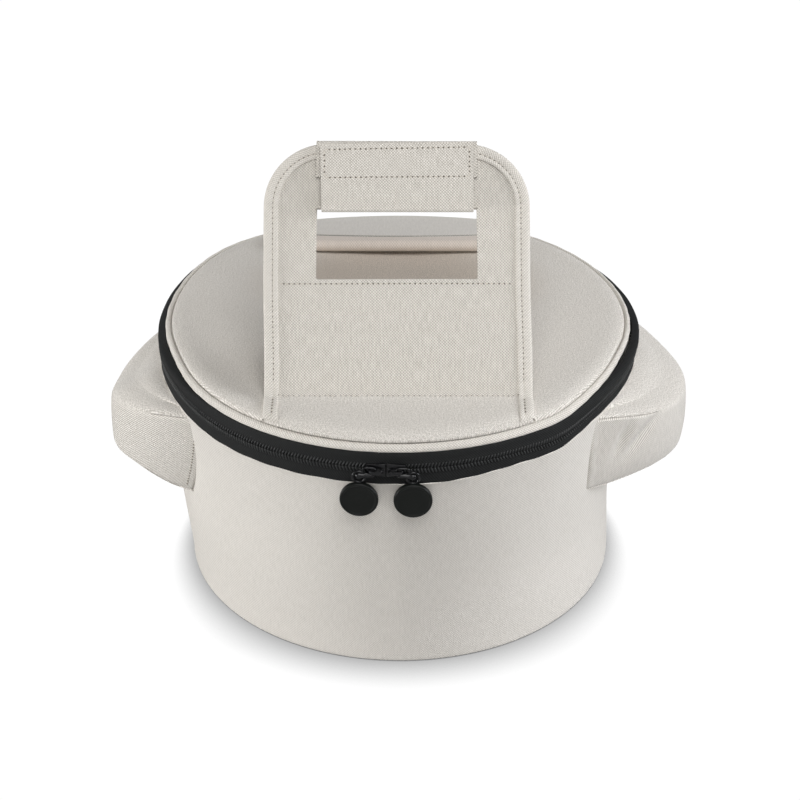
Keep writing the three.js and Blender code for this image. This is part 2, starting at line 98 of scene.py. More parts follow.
def makePiece(name, patches, finishes, closed=False, sharp=35, weldAt=0.004):
    # joins the grids into one mesh, welds shared edges, and keeps each grid's cloth coordinates
    counts = np.cumsum([0] + [len(p["points"]) for p in patches])
    points = np.concatenate([p["points"] for p in patches]) * mm
    faces = np.concatenate([p["faces"] + n for p, n in zip(patches, counts)])
    cloth = np.concatenate([p["cloth"] for p in patches]) * mm
    slots = np.concatenate([np.broadcast_to(p["slot"], len(p["faces"])) for p in patches])
    mesh = bpy.data.meshes.new(name)
    mesh.from_pydata(points.tolist(), [], faces.tolist())
    mesh.uv_layers.new(name="Cloth").data.foreach_set("uv", cloth.astype(np.float32).ravel())
    mesh.polygons.foreach_set("material_index", slots.astype(np.int32))
    for f in finishes:
        mesh.materials.append(f)
    work = bmesh.new()
    work.from_mesh(mesh)
    bmesh.ops.remove_doubles(work, verts=work.verts, dist=weldAt * mm)
    if closed:
        bmesh.ops.recalc_face_normals(work, faces=work.faces)
    work.to_mesh(mesh)
    work.free()
    mesh.polygons.foreach_set("use_smooth", np.ones(len(mesh.polygons), bool))
    mesh.set_sharp_from_angle(angle=math.radians(sharp))
    piece = bpy.data.objects.new(name, mesh)
    bpy.context.scene.collection.objects.link(piece)
    return piece


def flipped(made):
    # the same patch with its faces turned over
    return {**made, "faces": made["faces"][:, ::-1], "cloth": made["cloth"][:, ::-1]}


def thicken(piece, thick):
    # solid thickness inwards from the face
    layer = piece.modifiers.new("thickness", "SOLIDIFY")
    layer.thickness, layer.offset = thick * mm, -1


def fitted(piece, body, *nodes, thick=None):
    # gives a piece its thickness, the body it rides and the solids it stands for
    if thick:
        thicken(piece, thick)
    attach(piece, body)
    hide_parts(*nodes)


def runLength(points):
    # distance along rows of points: the running sum of their steps
    step = np.linalg.norm(np.diff(points, axis=0), axis=-1)
    return np.concatenate([np.zeros((1,) + step.shape[1:]), np.cumsum(step, 0)])


def readAlong(points, at, want):
    # points read at wanted distances, straight between neighbours
    return np.stack([np.interp(want, at, column) for column in points.T], 1)


def resample(points, count):
    # the same line in evenly spaced points
    at = runLength(points)
    return readAlong(points, at, np.linspace(0, at[-1], count))


def unit(ways):
    # rows of arrows brought to length 1
    return ways / np.linalg.norm(ways, axis=1, keepdims=True)


def rightOf(path):
    # unit arrow to the right of the way along a flat path
    way = unit(np.gradient(path, axis=0))
    return np.stack([way[:, 1], -way[:, 0]], 1)


def arcPoints(centre, radius, fromDeg, toDeg, count):
    # centre plus radius times cosine and sine of evenly spaced angles
    a = np.radians(np.linspace(fromDeg, toDeg, count))
    return np.stack([centre[0] + radius * np.cos(a), centre[1] + radius * np.sin(a)], 1)


# shader groups and the nodes they share

def groupOf(name, inputs, outputs):
    # an empty group with its own sockets
    group = bpy.data.node_groups.new(name, "ShaderNodeTree")
    for label, kind, value in inputs:
        socket = group.interface.new_socket(label, in_out="INPUT", socket_type=kind)
        socket.default_value = value
    for label, kind in outputs:
        group.interface.new_socket(label, in_out="OUTPUT", socket_type=kind)
    return group, group.nodes.new("NodeGroupInput"), group.nodes.new("NodeGroupOutput")


def newNodes(tree, *kinds):
    # one node of each kind
    return [tree.nodes.new("ShaderNode" + kind) for kind in kinds]


def setValues(node, values):
    # constants on a node's own sockets
    for label, value in values.items():
        node.inputs[label].default_value = value


def feed(tree, socket, value):
    # a tone or number is set on the socket, another socket is linked to it
    if isinstance(value, tuple):
        socket.default_value = (*value, 1.0)
    elif isinstance(value, (int, float)):
        socket.default_value = value
    else:
        tree.links.new(value, socket)


def mathNode(tree, kind, *terms):
    # one step of arithmetic on numbers or sockets
    node = tree.nodes.new("ShaderNodeMath")
    node.operation = kind
    for socket, term in zip(node.inputs, terms):
        feed(tree, socket, term)
    return node.outputs[0]


def mixTone(tree, share, a, b, blend="MIX"):
    # tone a passing to b, or tinted by it, as the share goes from 0 to 1
    node = tree.nodes.new("ShaderNodeMix")
    node.data_type, node.blend_type = "RGBA", blend
    for key, value in ((0, share), (6, a), (7, b)):
        feed(tree, node.inputs[key], value)
    return node.outputs[2]


def noiseAt(tree, vector, scale, detail=2.0, rough=0.5):
    # cloudy values about 0.5, read at a vector
    node = tree.nodes.new("ShaderNodeTexNoise")
    setValues(node, {"Scale": scale, "Detail": detail, "Roughness": rough})
    tree.links.new(vector, node.inputs["Vector"])
    return node.outputs["Fac"]


def clamped(tree, value):
    # a value held between 0 and 1
    node = tree.nodes.new("ShaderNodeClamp")
    tree.links.new(value, node.inputs[0])
    return node.outputs[0]


def ranged(tree, value, fromEnds, toEnds, kind="LINEAR"):
    # one range read as another, straight or eased, level past the ends
    node = tree.nodes.new("ShaderNodeMapRange")
    node.interpolation_type = kind
    ends = ("From Min", "From Max", "To Min", "To Max")
    setValues(node, dict(zip(ends, (*fromEnds, *toEnds))))
    tree.links.new(value, node.inputs["Value"])
    return node.outputs["Result"]


def weaveGroup():
    # height = crossing of two sine threads, leaning to diagonal ribs by Twill; u and v are metres of cloth
    group, given, made = groupOf(
        "canvasWeave",
        [("Pitch", "NodeSocketFloat", 0.00087), ("Twill", "NodeSocketFloat", 0.3),
         ("Slub", "NodeSocketFloat", 0.4), ("Grain", "NodeSocketFloat", 0.3)],
        [("Height", "NodeSocketFloat"), ("Shade", "NodeSocketFloat")],
    )
    place, split, stretch = newNodes(group, "UVMap", "SeparateXYZ", "Mapping")
    place.uv_map = "Cloth"
    group.links.new(place.outputs[0], split.inputs[0])
    turn = mathNode(group, "DIVIDE", math.pi, given.outputs["Pitch"])
    across = mathNode(group, "MULTIPLY", split.outputs[0], turn)
    along = mathNode(group, "MULTIPLY", split.outputs[1], turn)
    crossing = mathNode(group, "MULTIPLY", mathNode(group, "SINE", across), mathNode(group, "SINE", along))
    rib = mathNode(group, "SINE", mathNode(group, "ADD", across, along))
    plain = mathNode(group, "MULTIPLY", crossing, mathNode(group, "SUBTRACT", 1.0, given.outputs["Twill"]))
    leaned = mathNode(group, "MULTIPLY_ADD", rib, given.outputs["Twill"], plain)
    height = mathNode(group, "MULTIPLY_ADD", leaned, 0.5, 0.5)
    stretch.inputs["Scale"].default_value = (1.0, 0.16, 1.0)  # slubs lie along the thread
    group.links.new(place.outputs[0], stretch.inputs["Vector"])
    slub = noiseAt(group, stretch.outputs[0], 900.0, 2.0)
    uneven = mathNode(group, "MULTIPLY", mathNode(group, "SUBTRACT", slub, 0.5), given.outputs["Slub"])
    speck = mathNode(group, "SUBTRACT", noiseAt(group, place.outputs[0], 1300.0, 2.0, 0.6), 0.5)
    worn = mathNode(group, "ADD", height, uneven)
    shade = mathNode(group, "MULTIPLY_ADD", speck, given.outputs["Grain"], worn)
    group.links.new(height, made.inputs["Height"])
    group.links.new(shade, made.inputs["Shade"])
    return group


def soilGroup():
    # tone passing to dull by slow clouds with finer spots in them
    group, given, made = groupOf(
        "clothSoil",
        [("Tone", "NodeSocketColor", (0.7, 0.65, 0.58, 1)), ("Dull", "NodeSocketColor", (0.6, 0.55, 0.48, 1)),
         ("Amount", "NodeSocketFloat", 0.5)],
        [("Tone", "NodeSocketColor")],
    )
    place = group.nodes.new("ShaderNodeTexCoord")
    cloud = noiseAt(group, place.outputs["Object"], 9.0, 3.0)
    spots = noiseAt(group, place.outputs["Object"], 60.0, 3.0, 0.6)
    both = mathNode(group, "MULTIPLY_ADD", spots, 0.5, mathNode(group, "MULTIPLY", cloud, 0.8))
    share = mathNode(group, "MULTIPLY", mathNode(group, "SUBTRACT", both, 0.4), given.outputs["Amount"])
    tone = mixTone(group, clamped(group, share), given.outputs["Tone"], given.outputs["Dull"])
    group.links.new(tone, made.inputs["Tone"])
    return group


weave, soil = weaveGroup(), soilGroup()


def placed(tree, group, **values):
    # a shared group set into a material with its own constants
    node = tree.nodes.new("ShaderNodeGroup")
    node.node_tree = group
    for label, value in values.items():
        feed(tree, node.inputs[label], value)
    return node


def nearSpot(tree, middle, half):
    # 1 about a spot on the piece, fading to 0 a little past its half widths
    place, shift, far = newNodes(tree, "TexCoord", "Mapping", "VectorMath")
    shift.vector_type, far.operation = "TEXTURE", "LENGTH"
    setValues(shift, {"Location": middle, "Scale": half})
    tree.links.new(place.outputs["Object"], shift.inputs["Vector"])
    tree.links.new(shift.outputs[0], far.inputs[0])
    return ranged(tree, far.outputs["Value"], (0.55, 1.25), (1.0, 0.0), "SMOOTHSTEP")


def freshFinish(name):
    # a new material with its tree and shader
    mat = bpy.data.materials.new(name)
    mat.use_nodes = True
    return mat, mat.node_tree, mat.node_tree.nodes["Principled BSDF"]


def emboss(tree, shader, height, strength, relief):
    # the shader's normal tipped by a height, its relief in millimetres
    node = tree.nodes.new("ShaderNodeBump")
    setValues(node, {"Strength": strength, "Distance": relief * mm})
    tree.links.new(height, node.inputs["Height"])
    tree.links.new(node.outputs[0], shader.inputs["Normal"])


def clothFinish(name, tone, dull, deep, pitch=0.87, twill=0.3, slub=0.5, grain=0.4, contrast=0.5, rough=0.92,
                sheen=0.15, relief=0.12, soilShare=0.5, specular=0.2, paintedShade=None):
    # woven cloth: clouded tone passing to deep between the threads, the deep partly painted shade of their
    # hollows, and a warm painted shade multiplied in about a given spot
    mat, tree, shader = freshFinish(name)
    threads = placed(tree, weave, Pitch=pitch * mm, Twill=twill, Slub=slub, Grain=grain)
    cloud = placed(tree, soil, Tone=tone, Dull=dull, Amount=soilShare)
    # low threads pass to the deep tone: painted shade of the weave's hollows, while slubs and specks are the
    # threads' own uneven tone
    low = mathNode(tree, "SUBTRACT", 1.0, threads.outputs["Shade"])
    between = clamped(tree, mathNode(tree, "MULTIPLY", low, contrast))
    seenTone = mixTone(tree, between, cloud.outputs["Tone"], deep)
    # painted shade: a warm darker tint multiplied over the cloth about the spot
    if paintedShade:
        spot = nearSpot(tree, paintedShade["middle"], paintedShade["half"])
        seenTone = mixTone(tree, spot, seenTone, paintedShade["tint"], "MULTIPLY")
    tree.links.new(seenTone, shader.inputs["Base Color"])
    setValues(shader, {"Roughness": rough, "Sheen Weight": sheen, "Sheen Roughness": 0.6,
                       "Specular IOR Level": specular})
    emboss(tree, shader, threads.outputs["Height"], 0.8, relief)
    return mat


def hardFinish(name, tone, worn, rough, grain, relief, shine=0.5):
    # moulded or enamelled piece: fine grain in the roughness, tone passing to worn by slower clouds
    mat, tree, shader = freshFinish(name)
    place = tree.nodes.new("ShaderNodeTexCoord")
    fine = noiseAt(tree, place.outputs["Object"], grain, 3.0)
    rub = noiseAt(tree, place.outputs["Object"], grain * 0.12, 2.0)
    rubbed = mixTone(tree, mathNode(tree, "MULTIPLY", rub, 0.5), tone, worn)
    tree.links.new(rubbed, shader.inputs["Base Color"])
    tree.links.new(mathNode(tree, "MULTIPLY_ADD", fine, 0.18, rough - 0.09), shader.inputs["Roughness"])
    setValues(shader, {"Specular IOR Level": shine})
    emboss(tree, shader, fine, 0.5, relief)
    return mat


# deep in each set of tones is the painted shade between the threads
canvasTones = dict(tone=(0.80, 0.765, 0.715), dull=(0.75, 0.715, 0.66), deep=(0.36, 0.335, 0.295))
handleTones = dict(tone=(0.845, 0.805, 0.748), dull=(0.795, 0.755, 0.698), deep=(0.37, 0.345, 0.3))
lidTones = dict(tone=(0.86, 0.823, 0.772), dull=(0.81, 0.773, 0.717), deep=(0.39, 0.363, 0.32))
canvas = clothFinish("outerCanvas", **canvasTones, grain=0.25, contrast=0.7, relief=0.06)
# painted shade: warm darker tint on the lid between the handles, where the front panel shades it and throws
# warm light back
paintedShadeSpot = dict(middle=(0, 0.045, 0.165), half=(0.085, 0.06, 1.0), tint=(0.925, 0.85, 0.78))
canvasSmooth = clothFinish("lidCanvas", **lidTones, pitch=0.45, twill=0.0, slub=0.3, grain=2.2, contrast=1.1,
                           relief=0.03, paintedShade=paintedShadeSpot)
canvasBold = clothFinish("handleCanvas", **handleTones, contrast=1.15, relief=0.2)
canvasTwill = clothFinish("pocketCanvas", **canvasTones, twill=0.9, grain=0.15, contrast=0.95, relief=0.14)
# painted shade: a warmer, darker copy of the canvas for the rear handle's roll and the front panel's back,
# both in the front panel's shade
canvasPaintedShade = clothFinish("paintedShadeCanvas", (0.80, 0.715, 0.64), (0.74, 0.66, 0.585), (0.36, 0.31, 0.26),
                         contrast=0.6, relief=0.06)
canvasBias = clothFinish("bindingCanvas", **handleTones, twill=0.45, contrast=0.95, relief=0.16)
liningCloth = clothFinish("greyLining", (0.50, 0.49, 0.47), (0.44, 0.43, 0.41), (0.3, 0.29, 0.28), pitch=0.6,
                          twill=0.0, contrast=0.3, rough=0.55, sheen=0.0, relief=0.04, specular=0.4)
tapeCloth = clothFinish("blackTape", (0.019, 0.020, 0.020), (0.024, 0.025, 0.025), (0.004, 0.004, 0.004),
                        pitch=0.8, twill=0.7, contrast=0.9, rough=0.75, sheen=0.0, relief=0.14, specular=0.16)
gripFuzz = clothFinish("hookLoop", (0.62, 0.58, 0.52), (0.55, 0.51, 0.45), (0.3, 0.27, 0.23), pitch=0.5,
                       twill=0.1, slub=1.6, contrast=0.7, relief=0.3)
threadLook = dict(pitch=0.3, twill=1.0, contrast=0.5, relief=0.05, soilShare=0.2)
threadCloth = clothFinish("seamThread", (0.66, 0.61, 0.54), (0.6, 0.55, 0.48), (0.4, 0.36, 0.3), **threadLook)
threadDark = clothFinish("creaseThread", (0.3, 0.27, 0.235), (0.26, 0.235, 0.2), (0.16, 0.14, 0.12),
                         **threadLook)
paintedHoleShade = hardFinish("paintedHoleShade", (0.13, 0.115, 0.095), (0.18, 0.16, 0.135), 0.95, 900.0, 0.02)
toothBlack = hardFinish("zipTooth", (0.014, 0.015, 0.015), (0.026, 0.027, 0.027), 0.5, 700.0, 0.02)
sliderBlack = hardFinish("sliderEnamel", (0.004, 0.004, 0.005), (0.008, 0.008, 0.008), 0.22, 500.0, 0.01,
                         shine=0.4)
pullBlack = hardFinish("pullRubber", (0.005, 0.006, 0.005), (0.009, 0.01, 0.009), 0.4, 900.0, 0.03,
                       shine=0.22)
print("finishes ready")

# stage, camera and light

view = dict(lens=90.0, place=(0.0, -1.0951, 0.7609), tilt=59.0, shift=0.0019)
studio = dict(skySeen=0.87, skyCast=0.15, paperTone=0.42, paintedShadowPower=1.15, paintedShadowShare=0.97, paintedShadowLeast=0.05,
              floorHalf=6000, floorAt=-0.3)
lens = bpy.data.cameras.new("camera")
lens.lens, lens.sensor_width, lens.shift_x = view["lens"], 36.0, view["shift"]
camera = bpy.data.objects.new("camera", lens)
camera.location = view["place"]
camera.rotation_euler = (math.radians(view["tilt"]), 0, 0)
bpy.context.scene.collection.objects.link(camera)
bpy.context.scene.camera = camera


def softBox(name, place, aim, size, power, tone=(1, 1, 1)):
    # a round lamp turned towards the place it is aimed at
    lamp = bpy.data.lights.new(name, "AREA")
    lamp.shape, lamp.size, lamp.energy, lamp.color = "DISK", size, power, tone
    stand = bpy.data.objects.new(name, lamp)
    stand.location = place
    aimed = Vector(aim) - Vector(place)
    stand.rotation_euler = aimed.to_track_quat("-Z", "Y").to_euler()
    bpy.context.scene.collection.objects.link(stand)


softBox("frontLight", (0.15, -1.1, 1.6), (0, 0, 0.12), 1.3, 19.0)
softBox("rightLight", (1.75, -0.25, 0.85), (0, 0, 0.1), 0.8, 25.0, (0.975, 0.993, 1.03))
softBox("leftLight", (-1.8, -0.45, 0.2), (0, 0, 0.1), 0.5, 24.0)
softBox("lowLight", (-0.15, -2.3, 0.45), (0, 0, 0.1), 0.8, 4.0)
softBox("rearLight", (-0.4, 2.0, 0.4), (0, 0, 0.1), 0.8, 10.0)

sky = bpy.data.worlds.new("studio")
sky.use_nodes = True
sky.node_tree.nodes["Background"].inputs[0].default_value = (1, 1, 1, 1)
skyView = sky.node_tree.nodes.new("ShaderNodeLightPath")
skyRay = skyView.outputs["Is Camera Ray"]
skyGlow = mathNode(sky.node_tree, "MULTIPLY_ADD", skyRay, studio["skySeen"], studio["skyCast"])
sky.node_tree.links.new(skyGlow, sky.node_tree.nodes["Background"].inputs[1])
bpy.context.scene.world = sky
bpy.context.scene.view_settings.view_transform = "Standard"

floorPaper, paper, paperFace = freshFinish("floorPaper")
setValues(paperFace, {"Base Color": (*[studio["paperTone"]] * 3, 1), "Roughness": 0.9})
# the camera sees white paper with a painted soft contact shadow, dimmed by occlusion, where something stands
# on it
# the cloth is lit by the grey face
near, paperAt, along = newNodes(paper, "AmbientOcclusion", "TexCoord", "SeparateXYZ")
near.samples = 12
paper.links.new(paperAt.outputs["Object"], along.inputs[0])
reach = ranged(paper, along.outputs["Y"], (-0.12, 0.03), (0.029, 0.008))  # wider in front than at the sides
paper.links.new(reach, near.inputs["Distance"])
shade = mathNode(paper, "POWER", near.outputs["AO"], studio["paintedShadowPower"])
# seam is the painted contact shadow: the glow's strength, lower where the paper is occluded
seam = mathNode(paper, "MULTIPLY_ADD", shade, studio["paintedShadowShare"], studio["paintedShadowLeast"])
glow, seen, both = newNodes(paper, "Emission", "LightPath", "MixShader")
paper.links.new(seam, glow.inputs["Strength"])
paper.links.new(seen.outputs["Is Camera Ray"], both.inputs[0])
paper.links.new(paperFace.outputs[0], both.inputs[1])
paper.links.new(glow.outputs[0], both.inputs[2])
paper.links.new(both.outputs[0], paper.nodes["Material Output"].inputs["Surface"])
half = studio["floorHalf"] * np.array([-1.0, 1.0])
sweep = together(half[:, None], half, studio["floorAt"])
floor = makePiece("floor", [patch(sweep, sweep[..., :2], outFrom=(0, 0, -500))], [floorPaper])
print("stage ready")

# stitches: thread capsules with a dark disc between each pair, the painted shade of a needle hole

stitchCut = dict(pitch=3.05, long=2.0, wide=0.55, high=0.16, hole=0.56, holeLift=0.06, holeTop=0.09, look=0.4)


def stitchRows(rows, pitch):
    # rows are (points, face normals) along cloth; each stitch is a 6-sided capsule of 4 rings
    cut = stitchCut
    ring = np.arange(6) * fullTurn / 6
    alongs, fat = np.array([[-0.5, -0.34, 0.34, 0.5], [0.35, 1.0, 1.0, 0.35]])[..., None]
    across, tall = fat * np.cos(ring) * cut["wide"] / 2, fat * np.sin(ring) * cut["high"]
    shape = together(alongs * cut["long"], across, tall)
    hole = together(np.cos(ring) * cut["hole"], np.sin(ring) * cut["hole"], cut["holeLift"])
    made = []
    for points, normals in rows:
        at = runLength(points)
        count = max(2, int(round(at[-1] / pitch)))
        want = (np.arange(count) + 0.5) * at[-1] / count
        spots, up = readAlong(points, at, want), readAlong(normals, at, want)
        nose = unit(readAlong(points, at, want + cut["look"]) - readAlong(points, at, want - cut["look"]))
        up = unit(up - nose * (up * nose).sum(1, keepdims=True))
        axes = np.stack([nose, np.cross(up, nose), up], 1)
        body = spots[:, None, None] + np.einsum("rck,nkd->nrcd", shape, axes)
        for k in range(count):
            made.append(patch(body[k], np.zeros((4, 6, 2)) + alongs[..., None] * 2, wrapV=1.0, slot=0))
        # between the stitches a dark disc: painted shade of the needle hole
        gaps = readAlong(points, at, want + at[-1] / count / 2)
        dots = gaps[:, None] + np.einsum("ck,nkd->ncd", hole, axes)
        pair = np.stack([np.repeat(gaps[:, None] + up[:, None] * cut["holeTop"], 6, 1), dots], 1)
        for k in range(count - 1):
            made.append(patch(pair[k], np.zeros((2, 6, 2)), wrapV=1.0, slot=1, outFrom=gaps[k] - up[k] * 5))
    return made


def sewn(name, rows, body, pitch=stitchCut["pitch"], thread=threadCloth):
    # rows of stitches as one piece that rides a body
    piece = makePiece(name, stitchRows(rows, pitch), [thread, paintedHoleShade], weldAt=0.0005)
    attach(piece, body)


# drum: canvas wall, base, lining

drum = dict(baseRadius=136.4, mouthRadius=150.0, top=140.7, edge=1.0, flare=2.0, columns=288, rows=56)


def drumRadius(z):
    # the lower wall stands nearly straight and flares towards the zip
    up = np.clip(z / drum["top"], 0, 1)
    return drum["baseRadius"] + (drum["mouthRadius"] - drum["baseRadius"]) * up ** drum["flare"]


stance = dict(drawLeft=-2.8, drawRight=-5.4, liftLeft=4.6, liftRight=0.9, rearDip=-3.6, zipDip=-2.9,
              zipRise=1.6, lean=1.2, bow=-2.4, dent=-1.5, sink=-1.1, rim=140)
# the angle where each sits and how wide it is; the right corner is narrower towards the front
stanceAt = dict(stop=(0.62, 0.13), drawRight=(1.05, 0.31, 0.42), drawLeft=(-1.13, 0.36),
                liftLeft=(-1.0, 0.45), liftRight=(0.84, 0.44), rearDip=(0.0, 0.40), zipRise=(0.8, 0.25),
                dent=(1.57, 0.5))


def swayed(key, angle):
    # one of the stance's lengths, spread as a bell about its place
    return stance[key] * bump(angle, *stanceAt[key])


def settle(points):
    # how the stuffed bag stands: the body leans a little, the mouth is drawn in at the front corners, the lid
    # rises at its rear corners and dips between them, the zip's lower edge dips from the front to the left
    x, y, z = points[..., 0], points[..., 1], points[..., 2]
    turn, back, r = np.arctan2(x, -y), np.arctan2(x, y), np.hypot(x, y)
    up, share = np.clip(z / drum["top"], 0, 1), np.clip(r / stance["rim"], 0, 1.1) ** 2
    clear = 1 - bump(turn, *stanceAt["stop"])  # the tape keeps its place where the right slider stops
    corner, narrow, wide = stanceAt["drawRight"]
    draw = stance["drawRight"] * bump(turn, corner, np.where(turn < corner, narrow, wide)) * clear
    draw = draw + swayed("drawLeft", turn)
    lift = swayed("liftLeft", back) + swayed("liftRight", back) + swayed("rearDip", back)
    dip = stance["zipDip"] * smooth((0.48 - turn) / 0.36) * smooth((turn + 1.9) / 0.5)
    dip = dip + swayed("zipRise", turn) * clear
    lean = stance["lean"] * (1 - up) ** 2 + stance["bow"] * np.sin(math.pi * np.clip(up * 1.35, 0, 1)) ** 2
    dent = swayed("dent", turn) * bump(z, 70, 35)
    scale = 1 + (draw * smooth((z - 50) / 90) * share + dent) / np.maximum(r, 1)
    sink = stance["sink"] * (1 - clear) * bump(z, 146.5, 3.2)
    rise = lift * smooth((z - 128) / 27) * share + (dip * bump(z, 141.0, 6.0) + sink) * smooth((r - 120) / 20)
    return np.stack([x * scale + lean, y * scale, z + rise], -1)


pocket = dict(halfAngle=25.5, low=97.0, high=130.0)  # mouths of the side pockets, in degrees and mm


def inPocket(theta, z, grow=0.0):
    # true within the mouth's angle at either side and between its heights
    off = np.abs((np.degrees(theta) + 90) % 180 - 90)
    level = (z > pocket["low"] - grow * 2) & (z < pocket["high"] + grow * 2)
    return (off < pocket["halfAngle"] + grow) & level


# depth, angle and its width, share of the height and its width
wallFolds = [(0.55, -1.05, 0.10, 0.45, 0.3), (-0.6, -0.78, 0.07, 0.6, 0.28), (-0.7, -2.35, 0.09, 0.5, 0.3),
             (0.5, -1.62, 0.16, 0.35, 0.25)]


def wallRelief(theta, z):
    # slow hand-made unevenness of a stuffed wall: soft waves, a few folds, puckers under the zip seam
    up = z / drum["top"]
    wave = 0.5 * np.sin(3 * theta + 0.6) * np.sin(math.pi * up) + 0.35 * np.sin(7 * theta + 2.1 + 2 * up)
    fold = sum(deep * bump(theta, turn, wide) * bump(up, high, tall)
               for deep, turn, wide, high, tall in wallFolds)
    pucker = 0.22 * np.sin(46 * theta + 1.2 * np.sin(5 * theta)) * bump(up, 1, 0.045)
    return wave * smooth(up * 3) * smooth((1 - up) * 4) + fold + pucker


def buildDrum():
    # the wall's profile of foot, rise and fold turned about Z with its relief
    # the base is a disc turned up at its seam
    e, top, columns, girth = drum["edge"], drum["top"], drum["columns"], drum["mouthRadius"]
    eased, bent, hem = np.radians([0, 30, 60, 90]), np.radians([20, 50, 90]), 1.3
    foot = np.stack([drum["baseRadius"] - e + e * np.sin(eased), 0.1 + e - e * np.cos(eased)], 1)
    z = np.linspace(e + 2, top - 1.6, drum["rows"])
    rise = np.stack([drumRadius(z), z], 1)
    fold = np.stack([drumRadius(top) - hem + hem * np.cos(bent), top - hem + hem * np.sin(bent)], 1)
    line = np.concatenate([foot, rise, fold, [[drumRadius(top) - 4.2, top - 0.3]]])
    t = (np.arange(columns) * fullTurn / columns - math.pi / 2)[:, None]
    h = line[None, :, 1]
    grid = onRound(line[:, 0] + wallRelief(t, h), t, h)
    uv = together(t * girth, runLength(line))
    keep = ~inPocket(t + math.pi / columns, (h[:, :-1] + h[:, 1:]) / 2, 0.8)
    made = patch(settle(grid), uv, wrapU=fullTurn * girth, keep=keep)
    wall = makePiece("bodyCanvas", [made], [canvas])
    fitted(wall, "bag", "body_wall", "body_foam", thick=1.2)
    ring = np.array([[0.05, 0.35], [40, 0.3], [90, 0.25], [126, 0.15], [133.2, 0.1], [135.0, 0.25],
                     [135.5, 0.9], [134.9, 1.7]])
    grid = onRound(ring[:, 0], t, ring[:, 1])
    made = patch(settle(grid), grid[..., :2], wrapU=0.0, outFrom=(0, 0, 60))
    base = makePiece("baseCanvas", [made], [canvas])
    fitted(base, "bag", "base_panel", "base_board", thick=1.0)


def liningRadius(t, z):
    # the wall's radius less the foam, quilted in twelve soft waves
    quilt = 0.3 * np.sin(12 * t) * np.sin(math.pi * z / 140)
    return drumRadius(np.minimum(z, drum["top"])) - 6.9 + quilt


def buildLining():
    # inner wall from the hem over the foam's top down to the floor, with a collar into each pocket
    columns, girth = 240, 140
    z = np.concatenate([np.linspace(9.2, 90, 20), np.linspace(92, 135, 44), np.linspace(137, 144.4, 6)])
    step = fullTurn / columns
    t = (np.arange(columns) * fullTurn / columns)[:, None]
    wall = onRound(liningRadius(t, z) - 1.8 * smooth((z - 140) / 5), t, z)
    keep = ~inPocket(t + step / 2, (z[:-1] + z[1:]) / 2)
    patches = [flipped(patch(settle(wall), together(t * girth, z), wrapU=fullTurn * girth, keep=keep))]
    hem = np.array([[141.1, 144.4], [141.5, 145.5], [142.6, 146.2], [145.4, 146.1], [146.6, 145.7]])
    lip = onRound(hem[:, 0], t, hem[:, 1])
    lip[:, 0] = wall[:, -1]
    uv = together(t * girth, 150 + np.arange(len(hem)) * 1.5)
    patches.append(patch(settle(lip), uv, wrapU=fullTurn * girth, outFrom=(0, 0, 100)))
    # collars: the mouth's outline carried outwards through the wall
    half = round(math.radians(pocket["halfAngle"]) / step)
    across = np.arange(-half, half + 1) * step
    low, high = z[np.searchsorted(z, pocket["low"]) - 1], z[np.searchsorted(z, pocket["high"])]
    upright = z[(z > low) & (z < high)]
    loopT = np.concatenate([across, across[-1] + 0 * upright, across[::-1], across[0] + 0 * upright])
    loopZ = np.concatenate([low + 0 * across, upright, high + 0 * across, upright[::-1]])[:, None]
    outs = np.array([0.0, 2.0, 5.5, 9.0])
    for middle in (0.0, math.pi):
        turn = (loopT + middle)[:, None]
        collar = onRound(liningRadius(turn, loopZ) + outs, turn, loopZ)
        uv = together(np.arange(len(loopT))[:, None] * 1.5, outs)
        heart = (girth * math.cos(middle), girth * math.sin(middle), (low + high) / 2)
        patches.append(flipped(patch(settle(collar), uv, wrapU=1.5 * len(loopT), outFrom=heart)))
    lining = makePiece("bodyLining", patches, [liningCloth], weldAt=0.02)
    fitted(lining, "bag", "body_lining", thick=0.6)
    # floor: a soft disc, quilted in rings
    ring = resample(np.array([[0.05, 0.0], [20, 0.05], [45, 0.35], [60, 0.0], [75, 0.35], [100, 0.45],
                              [118, 0.3], [126.6, -0.1], [129.2, -0.8]]), 60)
    grid = onRound(ring[:, 0], t, 9.4 + ring[:, 1])
    made = patch(settle(grid), grid[..., :2], wrapU=0.0, outFrom=(0, 0, -60))
    pad = makePiece("baseLining", [made], [liningCloth])
    fitted(pad, "bag", "base_lining", "base_foam", thick=0.6)


buildDrum()
buildLining()
print("drum ready")

# side pockets

ear = dict(columns=121, radius=89.4, reach=183.0, topAtWall=139.4, topDrop=18.4, wallAt=124.0, sink=3.0,
           puff=1.2, easeWide=15.0, raised=3.2,
           left=dict(side=-1, front=0.915, seam=0.5, droop=9.0, droopFrom=-30.0, trim=0.6, lowOut=84.5,
                     lowIn=72.0, easeTall=4.5, dents=[(-0.55, 0.5, 0.15, 0.4, 0.7, 0.0)], hem=0.3,
                     low=[(182.5, 0), (181, 19), (177.5, 30.5), (170.5, 41), (157.5, 50.5), (141.5, 56.5),
                          (127, 59.5)]),
           right=dict(side=1, front=1.0, seam=1.1, droop=4.5, droopFrom=0.0, trim=0.0, lowOut=84.5,
                      lowIn=83.0, easeTall=2.5, hem=1.3,
                      dents=[(-0.775, 0.66, 0.04, 0.28, 2.9, 0.16), (-0.645, 0.66, 0.045, 0.30, 3.0, 0.34)],
                      low=[(183.5, 0), (181.5, 19), (177.5, 31), (171, 41), (160.5, 52), (145, 63), (131, 71),
                           (115, 78.5)]))


